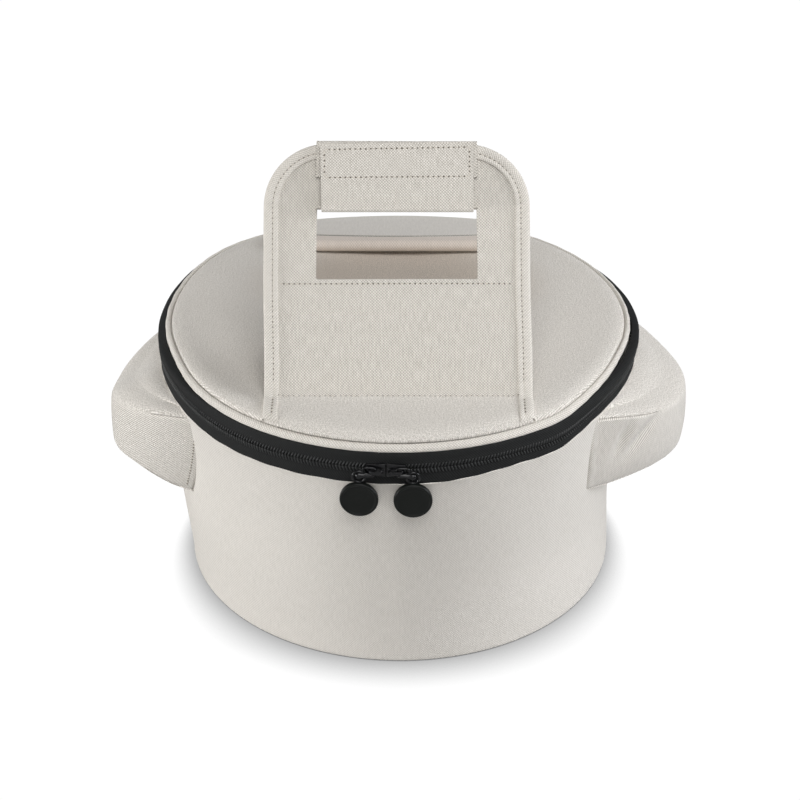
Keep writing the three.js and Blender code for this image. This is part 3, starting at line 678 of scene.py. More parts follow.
def softCurve(points, count):
    # a mirrored outline through a few points, rounded by averaging neighbours
    half = np.array(points, float)
    fine = resample(np.concatenate([half[::-1] * [1, -1], half[1:]]), 241)
    for _ in range(60):
        fine[1:-1] = (fine[:-2] + 2 * fine[1:-1] + fine[2:]) / 4
    return resample(fine, count)


def earTop(x, y, cut):
    # falls outwards, faster towards the edge, and slumps behind
    u = np.clip((x - ear["wallAt"]) / (ear["reach"] - ear["wallAt"]), 0, 1.1)
    slump = cut["droop"] * smooth((y - cut["droopFrom"]) / 50) * smooth(u / 0.5)
    return ear["topAtWall"] - ear["topDrop"] * u ** 1.5 - slump


def wallArc(radius, outline):
    # points along the drum between the two ends of an outline
    end = np.arctan2(outline[-1, 1], outline[-1, 0])
    a = np.linspace(-end, end, len(outline))
    return radius * np.stack([np.cos(a), np.sin(a)], 1)


def buildEar(word):
    # top and underside run from the drum to an eased edge; the band between the two outlines bulges and dents
    cut, n = ear[word], ear["columns"]
    side, centre = cut["side"], ear["reach"] - ear["radius"]
    wall = drumRadius(136.0) - ear["sink"]
    endX = (centre ** 2 + wall ** 2 - ear["radius"] ** 2) / (2 * centre)
    end = math.atan2(math.sqrt(wall ** 2 - endX ** 2), endX - centre)
    a = np.linspace(-end, end, n)
    top = arcPoints((centre, 0), ear["radius"], -math.degrees(end), math.degrees(end), n)
    top[:, 0] -= cut["trim"] * np.cos(a) ** 2
    top[:, 1] *= np.where(top[:, 1] < 0, cut["front"], 1.0)
    low = softCurve(cut["low"], n)
    q = np.linspace(-1, 1, n)[:, None]
    arch = np.sqrt(np.maximum(0, np.cos(q * math.pi / 2)))
    wide = ear["easeWide"] * arch
    # the seam along the top shows most beside the wall
    groove = 0.4 + cut["seam"] * smooth((np.abs(q) - 0.35) / 0.5)
    t, arc = np.linspace(0, 1, 26)[None, :], np.radians(np.linspace(0, 90, 7))[None, 1:]
    under = cut["lowOut"] + (cut["lowIn"] - cut["lowOut"]) * smooth((np.abs(q) - 0.45) / 0.55)
    patches, seams = [], []
    for lift, outline, ease in ((1, top, cut["easeTall"]), (-1, low, 2.0)):
        away = rightOf(outline)
        inner = outline - away * wide
        start = wallArc(drumRadius(140.0) - 0.3 if lift > 0 else drumRadius(85.0) - ear["sink"], outline)
        x, y = [start[:, k:k + 1] + (inner[:, k:k + 1] - start[:, k:k + 1]) * t for k in (0, 1)]
        rx, ry = [inner[:, k:k + 1] + away[:, k:k + 1] * wide * np.sin(arc) for k in (0, 1)]
        z, rz = [earTop(*spot, cut) if lift > 0 else under + 0 * spot[0] for spot in ((x, y), (rx, ry))]
        z = z + lift * ear["puff"] * np.sin(math.pi * t) * arch
        z = z + (ear["raised"] * (1 - t) ** 1.4 * arch if lift > 0 else 0)
        rz = rz - lift * ease * (1 - np.cos(arc))
        grid = np.stack([np.concatenate(pair, 1) for pair in ((x, rx), (y, ry), (z, rz))], -1)
        seams.append(grid[:, -1].copy())
        grid[:, -1, :2] -= (groove if lift > 0 else 0.5) * away
        patches.append((grid, together(grid[..., 0], grid[..., 1] - lift * 0.7 * grid[..., 2]), 0))
    v = np.linspace(0, 1, 44)[None, :, None]
    up, down = seams[0][:, None], seams[1][:, None]
    flat, tall = down[..., :2] + (up - down)[..., :2] * v ** 0.8, down[..., 2:] + (up - down)[..., 2:] * v
    grid = np.concatenate([flat, tall], -1)
    middle = 22  # the row half way up the band
    away, v = rightOf(grid[:, middle, :2]), v[..., 0]
    out = 1.3 * np.sin(math.pi * v) ** 0.6 * arch
    out = out + cut["hem"] * bump(np.abs(q), 0.972, 0.014) * np.sin(math.pi * v) ** 0.2
    for q0, v0, wq, wv, deep, slant in cut["dents"]:
        out = out - deep * bump(q - q0, (v - v0) * slant, wq) * bump(v, v0, wv)
    out[:, :1], out[:, -1:] = -0.5, -groove
    grid[..., :2] += away[:, None] * out[..., None]
    patches.append((grid, together(-side * runLength(grid[:, middle])[:, None], grid[..., 2]), 1))
    turned = np.array([side, 1, 1])
    made = [patch(settle(g * turned), uv, outFrom=(side * 150, 0, 110), slot=k) for g, uv, k in patches]
    piece = makePiece(f"pocket_{word}", made, [canvasSmooth, canvasTwill], weldAt=0.05, sharp=50)
    fitted(piece, "bag", f"ear_{word}_band", f"ear_{word}_top", f"ear_{word}_under", thick=1.6)
    column = 3  # the seam that closes the band against the wall
    row = grid[column, 2:-2] + np.append(away[column], 0) * 0.1
    return settle(row * turned), np.tile(np.append(away[column], 0) * turned, (len(row), 1))


sewn("pocketStitches", [buildEar("left")], "bag", pitch=2.6)
buildEar("right")
print("pockets ready")

# zip: two tapes, their teeth, the cloth hinge behind

zipCut = dict(mid=148.3, lean=2.8, tall=17.2, hingeHalf=22.6, columns=420,
              toothPitch=1.95, toothTall=2.3, toothWide=1.15, toothDeep=0.9)


def bandRadius(z):
    # the mouth's radius less a straight lean with height
    return 150.0 - zipCut["lean"] * (z - 140.7) / zipCut["tall"]


def zipAngles(count, half):
    # even angles once round, apart from the hinge behind
    half = np.radians(half)
    return np.linspace(math.pi / 2 + half, math.pi / 2 + fullTurn - half, count)


def sideSwell(theta, z):
    # the upper tape bellies out at both sides of the bag, away from the sliders
    most = np.where(np.cos(theta) > 0, 4.0, 2.9)
    return most * smooth((np.abs(np.cos(theta)) - 0.62) / 0.3) * smooth((z - 146) / 10)


zipLines = dict(  # profile of each tape: out from the band, height
    lower=[[-2.2, 138.6], [-0.6, 139.6], [-0.1, 141.0], [0.15, 143.0], [0.25, 144.6], [0.35, 145.4],
           [0.55, 146.3], [0.55, 147.4], [0.1, 148.1], [-0.9, 148.2]],
    upper=[[-0.9, 148.4], [0.1, 148.5], [0.55, 149.2], [0.55, 150.3], [0.35, 151.2], [0.25, 152.2],
           [0.3, 154.6], [0.0, 156.4], [-1.0, 157.4], [-2.6, 157.9], [-4.4, 158.2]])


def buildTape(word, body, rippleAt):
    # the profile turned about Z with a slight ripple
    t = zipAngles(zipCut["columns"], zipCut["hingeHalf"])[:, None]
    out, z = resample(np.array(zipLines[word]), 26).T
    r = bandRadius(z) + out + sideSwell(t, z) + 0.12 * np.sin(31 * t) * bump(z, rippleAt, 3)
    made = patch(settle(onRound(r, t, z)), together(t * 150, z), outFrom=(0, 0, 149))
    tape = makePiece(f"zipTape_{word}", [made], [tapeCloth], sharp=60)
    fitted(tape, body, f"zip_{word}_tape", thick=0.9)


def buildTeeth(word, body, up):
    # each tooth is a bar with rounded ends, 5 sides and 4 rings, leaning with the coil
    tall = zipCut["toothTall"]
    at = zipAngles(int(827 / zipCut["toothPitch"]), zipCut["hingeHalf"] + 0.3)[:, None, None]
    ends, fat = np.array([[0.15, 0.5, tall - 0.4, tall], [0.7, 1.0, 0.9, 0.4]])[..., None]
    side = np.radians([0, 50, 90, 130, 180])
    away = fat * np.cos(side) * zipCut["toothWide"] / 2 + ends * 0.55
    z = zipCut["mid"] + up * ends + 0 * away
    r = bandRadius(z) + 0.45 + fat * np.sin(side) * zipCut["toothDeep"] + sideSwell(at, z)
    c, s = np.cos(at), np.sin(at)
    rows = settle(together(r * c - away * s, r * s + away * c, z))
    made = [patch(row, np.zeros((4, 5, 2)) + np.arange(4)[:, None, None], wrapV=1.0) for row in rows]
    teeth = makePiece(f"zipTeeth_{word}", made, [toothBlack], weldAt=0.0002, sharp=70)
    fitted(teeth, body, f"zip_{word}_teeth")


def buildHinge():
    # a canvas strip between bag and lid that bulges a little
    low, high = 140.4, 158.3
    half = np.radians(zipCut["hingeHalf"] - 0.3)
    t = np.linspace(math.pi / 2 - half, math.pi / 2 + half, 60)[:, None]
    z = np.linspace(low, high, 24)[None, :]
    r = bandRadius(z) + 0.25 + 0.3 * np.sin(math.pi * (z - low) / (high - low))
    made = patch(settle(onRound(r, t, z)), together(t * 150, z), outFrom=(0, 0, 149))
    strip = makePiece("hingeCanvas", [made], [canvas])
    thicken(strip, 1.2)
    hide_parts("lid_hinge_strip")
    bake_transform(strip)


for word, body, rippleAt, up in (("lower", "bag", 144, -1), ("upper", "lid", 154, 1)):
    buildTape(word, body, rippleAt)
    buildTeeth(word, body, up)
buildHinge()
print("zip ready")

# lid

lid = dict(top=165.0, edge=142.2, frontEdge=143.8, puff=11.0, drop=3.4, rimFoot=158.2, rimGirth=144.5,
           columns=256)


def frontShare(theta):
    # 1 along the front of the lid, 0 at its sides and back
    return smooth((-np.sin(theta) - 0.24) / 0.34)


def lidEdge(theta):
    # the seam's radius, wider along the front
    return lid["edge"] + (lid["frontEdge"] - lid["edge"]) * frontShare(theta)


def lidHeight(r, theta=None):
    # level inside, falling by a quarter of an ellipse over the puffed edge
    edge = lid["edge"] if theta is None else lidEdge(theta)
    u = np.clip((r - (edge - lid["puff"])) / lid["puff"], 0, 1)
    return lid["top"] - lid["drop"] * (1 - np.sqrt(np.maximum(0, 1 - u * u)))


def lidRelief(x, y):
    # the foam settles a little inside the rolled edge and lies unevenly
    r = np.hypot(x, y)
    sag = -0.7 * bump(r, 70, 60)
    swell = 0.35 * np.sin(x / 31 + 0.8) * np.sin(y / 37 + 0.3) + 0.25 * np.sin(x / 17 + y / 23)
    return (sag + swell) * smooth((lid["edge"] - r) / 18)


lidRims = dict(  # profile of the rim strip: laid low over the zip along the front, a narrow roll elsewhere
    front=[[145.6, 156.4], [147.2, 156.7], [147.8, 157.6], [147.5, 159.2], [146.4, 160.5], [145.0, 161.0],
           [144.2, 160.8], [143.8, 160.0], [143.6, 159.0]],
    aside=[[144.0, 157.0], [145.2, 158.0], [145.7, 159.4], [145.6, 160.8], [144.9, 162.0], [143.8, 162.5],
           [142.8, 162.1], [142.3, 161.2], [142.0, 160.0]])


def buildLid():
    # turned about Z: a puffed disc, the rim passing from its side profile to its front one, a quilted lining
    t = (np.arange(lid["columns"]) * fullTurn / lid["columns"])[:, None]
    eased = np.sin(np.radians(np.linspace(3, 90, 30)))
    share = np.concatenate([np.linspace(0.0004, 0.85, 40), 0.85 + 0.15 * eased])
    edge = lidEdge(t)
    r = share * edge
    x, y = r * np.cos(t), r * np.sin(t)
    z = lidHeight(r, t) + lidRelief(x, y) - 1.2 * smooth((r - edge + 1.2) / 1.2)
    made = patch(settle(together(x, y, z)), together(x, y), wrapU=0.0, outFrom=(0, 0, 0))
    cloth = makePiece("lidCanvas", [made], [canvasSmooth], sharp=60)
    fitted(cloth, "lid", "lid_top", "lid_foam", thick=1.2)
    front, aside = [resample(np.array(lidRims[word]), 30) for word in ("front", "aside")]
    line = aside + (front - aside) * frontShare(t)[..., None]
    long = runLength(aside)
    ripple = 0.14 * np.sin(58 * t + 2 * np.sin(3 * t)) * np.sin(math.pi * long / long[-1])
    grid = onRound(line[..., 0] + ripple, t, line[..., 1])
    made = patch(settle(grid), together(t * lid["rimGirth"], long), wrapU=fullTurn * lid["rimGirth"])
    rim = makePiece("lidRim", [made], [canvasBias], sharp=70)
    fitted(rim, "lid", "lid_rim", thick=1.0)
    ring = np.array([[0.05, 0.9], [60, 0.9], [110, 0.7], [134, 0.3], [142.5, 0.2], [143.4, 0.8]])
    r, z = resample(ring, 44).T
    puff = -0.3 * np.sin(r / 140 * math.pi * 3) ** 2 * np.cos(6 * t) ** 2 * smooth((r - 20) / 50)
    grid = onRound(r, t, lid["rimFoot"] + z + puff)
    made = patch(settle(grid), grid[..., :2], wrapU=0.0, outFrom=(0, 0, 400))
    under = makePiece("lidLining", [made], [liningCloth])
    fitted(under, "lid", "lid_lining", thick=0.6)


buildLid()
print("lid ready")

# handles: one flat pattern (x across, s up from the root), laid into shape by a curve in the YZ plane

handle = dict(half=77.9, rise=147.5, corner=37.5, lean=37.0, thick=2.0, inset=1.1, bindWidth=8.6,
              bindThick=0.9, laneIn=5.4, holeHalf=47.3, holeLow=66.6, holeHigh=110.2, holeCorner=1.2,
              rootY=-100.6, rootZ=167.5, footRadius=144.4)


class ClothLine:
    # a curve given by its turning angle over length, kept as a fine table of places and angles
    def __init__(self, start, length, angleAt, origin, step=0.25):
        self.s = np.arange(start, length + step, step)
        self.a = angleAt(self.s)
        between = (self.a[1:] + self.a[:-1]) / 2
        y, z = [np.concatenate([[0], np.cumsum(part(between) * step)]) for part in (np.cos, np.sin)]
        k = np.argmin(np.abs(self.s - origin[0]))
        self.y, self.z = y - y[k] + origin[1], z - z[k] + origin[2]

    def at(self, x, s, n):
        # x across, s along the curve and n out from it
        y, z, a = [np.interp(s, self.s, v) for v in (self.y, self.z, self.a)]
        return together(x, y - n * np.sin(a), z + n * np.cos(a))


def footEdge(x):
    # how far forward the rim seam lies, on its circle
    return np.sqrt(handle["footRadius"] ** 2 - x ** 2)


stand = math.radians(90 - handle["lean"])
frontLine = ClothLine(-46, 160, lambda s: stand * smooth((s + 4.0) / 8.0),
                      (0.0, handle["rootY"], handle["rootZ"] + 0.2))


def frontPlace(x, s, n):
    # on the lid the foot follows the lid's own roll
    # above the root it stands with a slight bow, a little to the left
    p = frontLine.at(x - 1.0 * smooth((s - 10) / 60), s, n + frontBow(x, s))
    down = lidHeight(np.hypot(p[..., 0], p[..., 1]), np.arctan2(p[..., 1], p[..., 0])) - lid["top"] - 1.1
    p[..., 2] += np.where(s < 8, down * (1 - smooth((s + 6) / 6)), 0)
    return p


def frontBow(x, s):
    # a slow wave across and a belly below the hole, both growing up from the root
    wave = 0.55 * np.sin(x / 26 + 0.5) * np.sin(s / 34)
    belly = 0.96 * (1 - (x / 78) ** 2) * np.sin(np.clip(s, 0, 68) / 68 * math.pi)
    return smooth(s / 40) * (wave + belly)


def roundedBox(low, high, half, corner, count):
    # corner arcs in order: bottom left, bottom right, top right, top left
    bl, br, tr, tl = corner
    return [arcPoints((-half + bl, low + bl), bl, 180, 270, count),
            arcPoints((half - br, low + br), br, 270, 360, count),
            arcPoints((half - tr, high - tr), tr, 0, 90, count),
            arcPoints((-half + tl, high - tl), tl, 90, 180, count)]


def loopOf(parts, sides):
    # fills the straight runs between four corner arcs with sides[k] points
    out = []
    for k in range(4):
        a, b = parts[k], parts[(k + 1) % 4]
        out.append(a)
        run = np.linspace(0, 1, sides[k] + 2)[1:-1, None]
        out.append(a[-1] + (b[0] - a[-1]) * run)
    return np.concatenate(out)


def panelLoops(low, footed):
    # the hand hole's outline and the panel's outline with matching points
    sides, arc, turnAt = (48, 60, 48, 60), 9, 20
    corners = (handle["holeCorner"],) * 4
    hole = roundedBox(handle["holeLow"], handle["holeHigh"], handle["holeHalf"], corners, arc)
    half, big, high = [handle[key] - handle["inset"] for key in ("half", "corner", "rise")]
    outer = loopOf(roundedBox(low, high, half, (0.4, 0.4, big, big), arc), sides)
    if footed:  # the lower edge runs along the rim seam
        drop = np.clip((turnAt - outer[:, 1]) / (turnAt - low), 0, 1)
        seam = turnAt - drop * (turnAt + footEdge(outer[:, 0]) + handle["rootY"])
        outer[:, 1] = np.where(drop > 0, seam, outer[:, 1])
    return loopOf(hole, sides), outer


def panelShell(place, low, footed, rows, paintedBack=False):
    # a flat ring between hole and outline, given two faces and rounded edges, then laid by place
    hole, outer = panelLoops(low, footed)
    h = handle["thick"] / 2
    v = np.linspace(0, 1, rows)
    edge = np.radians(np.linspace(90, -90, 5))[1:-1]
    wide = np.linalg.norm(outer - hole, axis=1)[:, None]
    over = 0.7 * np.cos(edge)[None, :] / wide
    share = np.concatenate([v[None, :] + 0 * wide, 1 + over, v[::-1][None, :] + 0 * wide, -over[:, ::-1]], 1)
    n = np.concatenate([np.full(rows, h), h * np.sin(edge), np.full(rows, -h), -h * np.sin(edge)])[None, :]
    flat = hole[:, None] + (outer - hole)[:, None] * share[..., None]
    points = place(flat[..., 0], flat[..., 1], n + 0 * share)
    made = patch(np.concatenate([points, points[:1]], 0), np.concatenate([flat, flat[:1]], 0), wrapV=0.0)
    column = np.arange(len(made["faces"])) % share.shape[1]
    # the panel's back face gets the painted shade cloth, which also tints the light it throws back on the lid
    inner = paintedBack & (column >= rows + 3) & (column < 2 * rows + 2)
    foot = made["cloth"][..., 1].mean(1) < -2.5
    made["slot"] = np.where(foot, 1, inner * 2)  # the foot on the lid is the smoother cloth
    return made


def bindingPath(low, footed):
    # up one side, round the top, down the other; also the inward direction in the pattern
    half, big, high = handle["half"], handle["corner"], handle["rise"]
    start = -(footEdge(half) + handle["rootY"]) if footed else low
    left = together(-half, np.linspace(start, high - big, 60))
    arcL = arcPoints((-half + big, high - big), big, 180, 90, 24)[1:]
    top = together(np.linspace(-half + big, half - big, 24), high)[1:]
    arcR = arcPoints((half - big, high - big), big, 90, 0, 24)[1:]
    right = left[::-1] * [-1, 1]
    path = resample(np.concatenate([left, arcL, top, arcR, right[1:]]), 300)
    return path, rightOf(path)


def tapeLane(low, footed, above):
    # the stitch line in the tape's groove, from a height up
    path, inward = bindingPath(low, footed)
    lane = path + inward * handle["laneIn"]
    return lane[lane[:, 1] > above]


def bindingShell(place, low, footed):
    # a folded tape: flat on both faces of the panel, round at the edge, with a raised inner lip
    w, t, c = handle["bindWidth"], handle["thick"] / 2 + handle["bindThick"], handle["bindThick"] - 0.05
    face = np.array([[w, t - 0.6], [w - 0.1, t - 0.2], [w - 0.6, t + 0.12], [w - 1.6, t + 0.1],
                     [w - 2.6, t - 0.12], [w - 3.2, t - 0.3], [w - 3.8, t - 0.1], [w - 5.2, t + 0.1],
                     [2.4, t], [1.2, t - 0.25], [0.4, t - 0.8], [0.05, 0.5]])
    inner = np.array([[w, t - c], [w - 4, t - c], [2.4, t - c], [1.05, t - c - 0.05], [0.85, 0.5]])
    section = np.concatenate([face, face[::-1] * [1, -1], inner * [1, -1], inner[::-1]])
    path, inward = bindingPath(low, footed)
    flat = path[:, None] + inward[:, None] * section[None, :, :1]
    if footed:  # both ends are cut along the rim
        turnAt, whole = 10.0, 10.0 + footEdge(handle["half"]) + handle["rootY"]
        cut = (turnAt + footEdge(flat[..., 0]) + handle["rootY"]) / whole
        flat[..., 1] = np.where(flat[..., 1] < turnAt, turnAt - (turnAt - flat[..., 1]) * cut, flat[..., 1])
    points = place(flat[..., 0], flat[..., 1], np.broadcast_to(section[None, :, 1], flat.shape[:2]))
    return patch(points, together(runLength(path)[:, None], runLength(section)), wrapV=0.5)


def rowOn(place, line, n):
    # a stitch row on a pattern line, with the cloth's own normal
    n = np.broadcast_to(n, len(line))
    low, high = [place(line[:, 0], line[:, 1], n + lift) for lift in (0.0, 1.0)]
    return low, high - low


def buildFrontHandle():
    # panel and folded tape laid by frontPlace, bending at the root
    # stitches across the foot, under the hole and along the tape on both faces
    panel = makePiece("frontHandle", [panelShell(frontPlace, -20, True, 44, paintedBack=True)],
                      [canvasBold, canvasSmooth, canvasPaintedShade], closed=True)
    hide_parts("front_handle_panel", "front_handle_foot")
    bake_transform(panel)
    edging = bindingShell(frontPlace, 0, True)
    tape = makePiece("frontBinding", [edging], [canvasBias], closed=True)
    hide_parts("front_handle_binding")
    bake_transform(tape)
    face, aside, overTape = handle["thick"] / 2, 72.5, 0.75
    x = np.linspace(-aside, aside, 96)
    cross = rowOn(frontPlace, together(x, -2.5), face + overTape * (np.abs(x) > 69))
    down = np.linspace(-22.0, -4.0, 20)
    feet = [rowOn(frontPlace, together(sgn * aside, down), face + overTape) for sgn in (-1, 1)]
    sewn("footStitches", [cross] + feet, "lid")
    lane = tapeLane(0, True, 4)
    under = rowOn(frontPlace, together(np.linspace(-68.8, 68.8, 90), handle["holeLow"] - 2.2), face)
    back = rowOn(frontPlace, lane, -face - 0.6)
    sewn("frontStitches", [rowOn(frontPlace, lane, face + 0.62), under, (back[0], -back[1])], "front_handle")


buildFrontHandle()
print("front handle ready")

# grip wrap

grip = dict(half=44.7, sleeveHalf=47.0, inside=2.7, cloth=1.0, top=148.0, low=109.4, flapLow=105.8,
            flapTop=146.6, lap=127.0, flapAt=5.6, sewnLow=126.3, sewnHigh=143.4, sewnIn=2.3)


def sweepAcross(line, thick, half, place, columns, bow=None):
    # a strip of cloth: a line in (s, n) given thickness and carried across x, with closed ends
    side = -rightOf(line) * thick / 2
    loop = np.concatenate([line + side, (line - side)[::-1]])
    x = np.linspace(-half, half, columns)[:, None]
    s = loop[None, :, 0] + 0 * x
    n = loop[None, :, 1] + (bow(x, s) if bow else 0 * s)
    points = place(x + 0 * s, s, n)
    made = [patch(points, together(x, runLength(loop)), wrapV=thick)]
    k = len(line)
    for c in (0, columns - 1):
        cap = np.stack([points[c, :k], points[c, ::-1][:k]], 1)
        made.append(patch(cap, np.stack([loop[:k], loop[::-1][:k]], 1)))
    return made


def roundLine(points, radius, fine=5):
    # a polyline in (s, n) with its corners rounded
    out = [points[0]]
    for a, b, c in zip(points[:-2], points[1:-1], points[2:]):
        a, b, c = map(np.array, (a, b, c))
        p = b + (a - b) / np.linalg.norm(a - b) * radius
        q = b + (c - b) / np.linalg.norm(c - b) * radius
        for t in np.linspace(0, 1, fine):
            out.append((1 - t) ** 2 * p + 2 * t * (1 - t) * b + t ** 2 * q)
    out.append(points[-1])
    return np.array(out, float)


def flapPlace(x, s, n):
    # the flap was pressed on by hand: a little askew, its lower left corner drawn in
    v = np.clip((s - grip["flapLow"]) / (grip["flapTop"] - grip["flapLow"]), 0, 1)
    return frontPlace(x + 0.9 * (1 - v) * (x < 0), s + 0.022 * x * v, n)


def gripBelly(x, s):
    # the flap stands off a little in its middle
    return 0.5 * (1 - (x / grip["half"]) ** 2) * np.sin(np.clip((s - 109) / 40, 0, 1) * math.pi)


def buildGrip():
    # sleeve and flap are lines in (s, n) swept across the bar, with the two tapes between them
    i, c, top, low = grip["inside"] + 0.5, grip["cloth"], grip["top"] + 0.5, grip["low"] - 0.3
    line = roundLine([(grip["lap"], i), (top, i), (top, -i), (low, -i), (low, grip["flapAt"] - 0.9)], 2.2)
    swept = sweepAcross(resample(line, 70), c, grip["sleeveHalf"], frontPlace, 40)
    sleeve = makePiece("gripSleeve", swept, [canvasBold], closed=True, sharp=60)
    fitted(sleeve, "front_handle", "grip_sleeve")
    f, base = grip["flapAt"] + 0.5, grip["flapLow"]
    line = roundLine([(base + 1.2, f - 1.6), (base, f - 0.4), (118, f + 0.35), (133, f + 0.3),
                      (grip["flapTop"], f - 0.1)], 0.8)
    flapLine = resample(line, 44)
    swept = sweepAcross(flapLine, c, grip["half"], flapPlace, 40, gripBelly)
    flap = makePiece("gripFlap", swept, [canvasBold], closed=True, sharp=60)
    fitted(flap, "grip_flap", "grip_flap")
    for word, body, n in (("loop", "front_handle", 3.98), ("hook", "grip_flap", 4.9)):
        swept = sweepAcross(resample(np.array([(130.0, n), (145.0, n)]), 16), 0.6, 38.0, frontPlace, 30)
        tape = makePiece(f"gripTape_{word}", swept, [gripFuzz], closed=True)
        fitted(tape, body, f"grip_{word}_tape")
    up = rowOn(frontPlace, np.array([[0.0, 130.0]]), 0.0)[1]
    edge, sewnLow, sewnHigh = grip["half"] - grip["sewnIn"], grip["sewnLow"], grip["sewnHigh"]
    rows = []
    for a, b in (((-edge, sewnHigh), (edge, sewnHigh)), ((-edge, sewnLow), (edge, sewnLow)),
                 ((-edge, sewnLow), (-edge, sewnHigh)), ((edge, sewnLow), (edge, sewnHigh))):
        x, s = np.linspace(a, b, 60).T
        n = np.interp(s, flapLine[:, 0], flapLine[:, 1]) + c / 2 + gripBelly(x, s)
        rows.append((flapPlace(x, s, n), np.tile(up, (60, 1))))
    sewn("flapStitches", rows, "grip_flap")


buildGrip()
print("grip ready")

# rear handle: folded back over its foot, across the rim and down behind

rear = dict(rootY=87.5, rootZ=169.5, roll=3.2, slope=9.6, rimFold=30.0, hangFold=23.0, lower=56.5, middle=8.0,
            rimRadius=146.0, follow=0.75, creaseAt=7.4, creaseBow=3.6, creaseDeep=1.9, creaseWide=1.3)


def rearTurn(s, x):
    # heading of the cloth: forward on the lid, round the roll, then back and down in two soft folds
    # these come sooner towards the sides because the rim under them is round
    roll = math.pi * rear["roll"]
    fold = rear["lower"] - rear["follow"] * (rear["rimRadius"] - np.sqrt(rear["rimRadius"] ** 2 - x ** 2))
    a = math.pi - (math.pi + math.radians(rear["slope"])) * np.clip((s + roll) / roll, 0, 1)
    a = a - math.radians(rear["rimFold"]) * smooth((s - fold + 3.5) / 7)
    return a - math.radians(rear["hangFold"]) * smooth((s - fold - rear["middle"] + 3.5) / 7)


class ClothTable:
    # the same curve worked out for a row of places across the cloth, and read between them
    def __init__(self, half, start, length, angleAt, origin, step=0.25, count=41):
        self.x = np.linspace(-half, half, count)
        rows = [ClothLine(start, length, lambda s, at=at: angleAt(s, at), origin, step) for at in self.x]
        self.s = rows[0].s
        self.table = [np.stack([getattr(row, key) for row in rows]) for key in ("y", "z", "a")]

    def at(self, x, s, n):
        # the four table values about (x, s), weighed by nearness
        x, s, n = np.broadcast_arrays(x, s, n)
        i = np.clip((x - self.x[0]) / (self.x[1] - self.x[0]), 0, len(self.x) - 1.001)
        j = np.clip((s - self.s[0]) / (self.s[1] - self.s[0]), 0, len(self.s) - 1.001)
        i0, j0 = i.astype(int), j.astype(int)
        fi, fj = i - i0, j - j0
        y, z, a = [(v[i0, j0] * (1 - fj) + v[i0, j0 + 1] * fj) * (1 - fi)
                   + (v[i0 + 1, j0] * (1 - fj) + v[i0 + 1, j0 + 1] * fj) * fi for v in self.table]
        return np.stack([x, y - n * np.sin(a), z + n * np.cos(a)], -1)


rearRoot = (0.0, rear["rootY"], rear["rootZ"] + rear["roll"])
rearTable = ClothTable(handle["half"] + 2, -75, 160, rearTurn, rearRoot)


def creaseLine(x):
    # a parabola, further back towards the sides
    return rear["creaseAt"] + rear["creaseBow"] * (x / 60) ** 2


def rearPlace(x, s, n):
    # a sewn crease draws the cloth down just behind the roll
    return rearTable.at(x, s, n - rear["creaseDeep"] * bump(s, creaseLine(x), rear["creaseWide"]))


def rearStrip(sLow, sHigh, rows):
    # the panel between two pattern lines, thicker along the bound edges
    half, w = handle["half"], handle["bindWidth"]
    across = np.array([0, 0.5, 1.4, w - 3.4, w - 3.0, w - 2.6, w - 0.5, w - 0.2, w]) - half
    thick = np.array([0.3, 1.3, 1.8, 1.9, 1.6, 1.9, 1.95, 1.6, 1.0])
    x = np.concatenate([across, np.linspace(-half + w + 1, half - w - 1, 40), -across[::-1]])
    h = np.concatenate([thick, np.full(40, 1.0), thick[::-1]])
    loopX, loopN = np.concatenate([x, x[::-1]]), np.concatenate([h, -h[::-1]])
    s = np.linspace(sLow, sHigh, rows)[:, None]
    points = rearPlace(loopX[None, :] + 0 * s, s + 0 * loopX[None, :], loopN[None, :] + 0 * s)
    backAt = 400  # the underside's place in the cloth's own lengths
    made = [patch(points, together(np.concatenate([x, x[::-1] + backAt]), s), wrapV=1.0)]
    u, v = made[0]["cloth"].mean(1).T
    ahead = v < creaseLine(np.where(u > backAt / 2, u - backAt, u))
    made[0]["slot"] = np.where(ahead, 1, 0)  # the roll ahead of the crease gets the warmer, darker painted shade
    for row in (0, rows - 1):
        cap = np.stack([points[row, :len(x)], points[row, ::-1][:len(x)]], 1)
        made.append(patch(cap, cap[..., :2]))
    return made


def rearBend(sFrom, sTo):
    # the two ends, on the middle line, of the stretch of cloth between one body and the next
    return dict(start=tuple(rearPlace(0.0, sFrom, 0.0) * mm), end=tuple(rearPlace(0.0, sTo, 0.0) * mm))


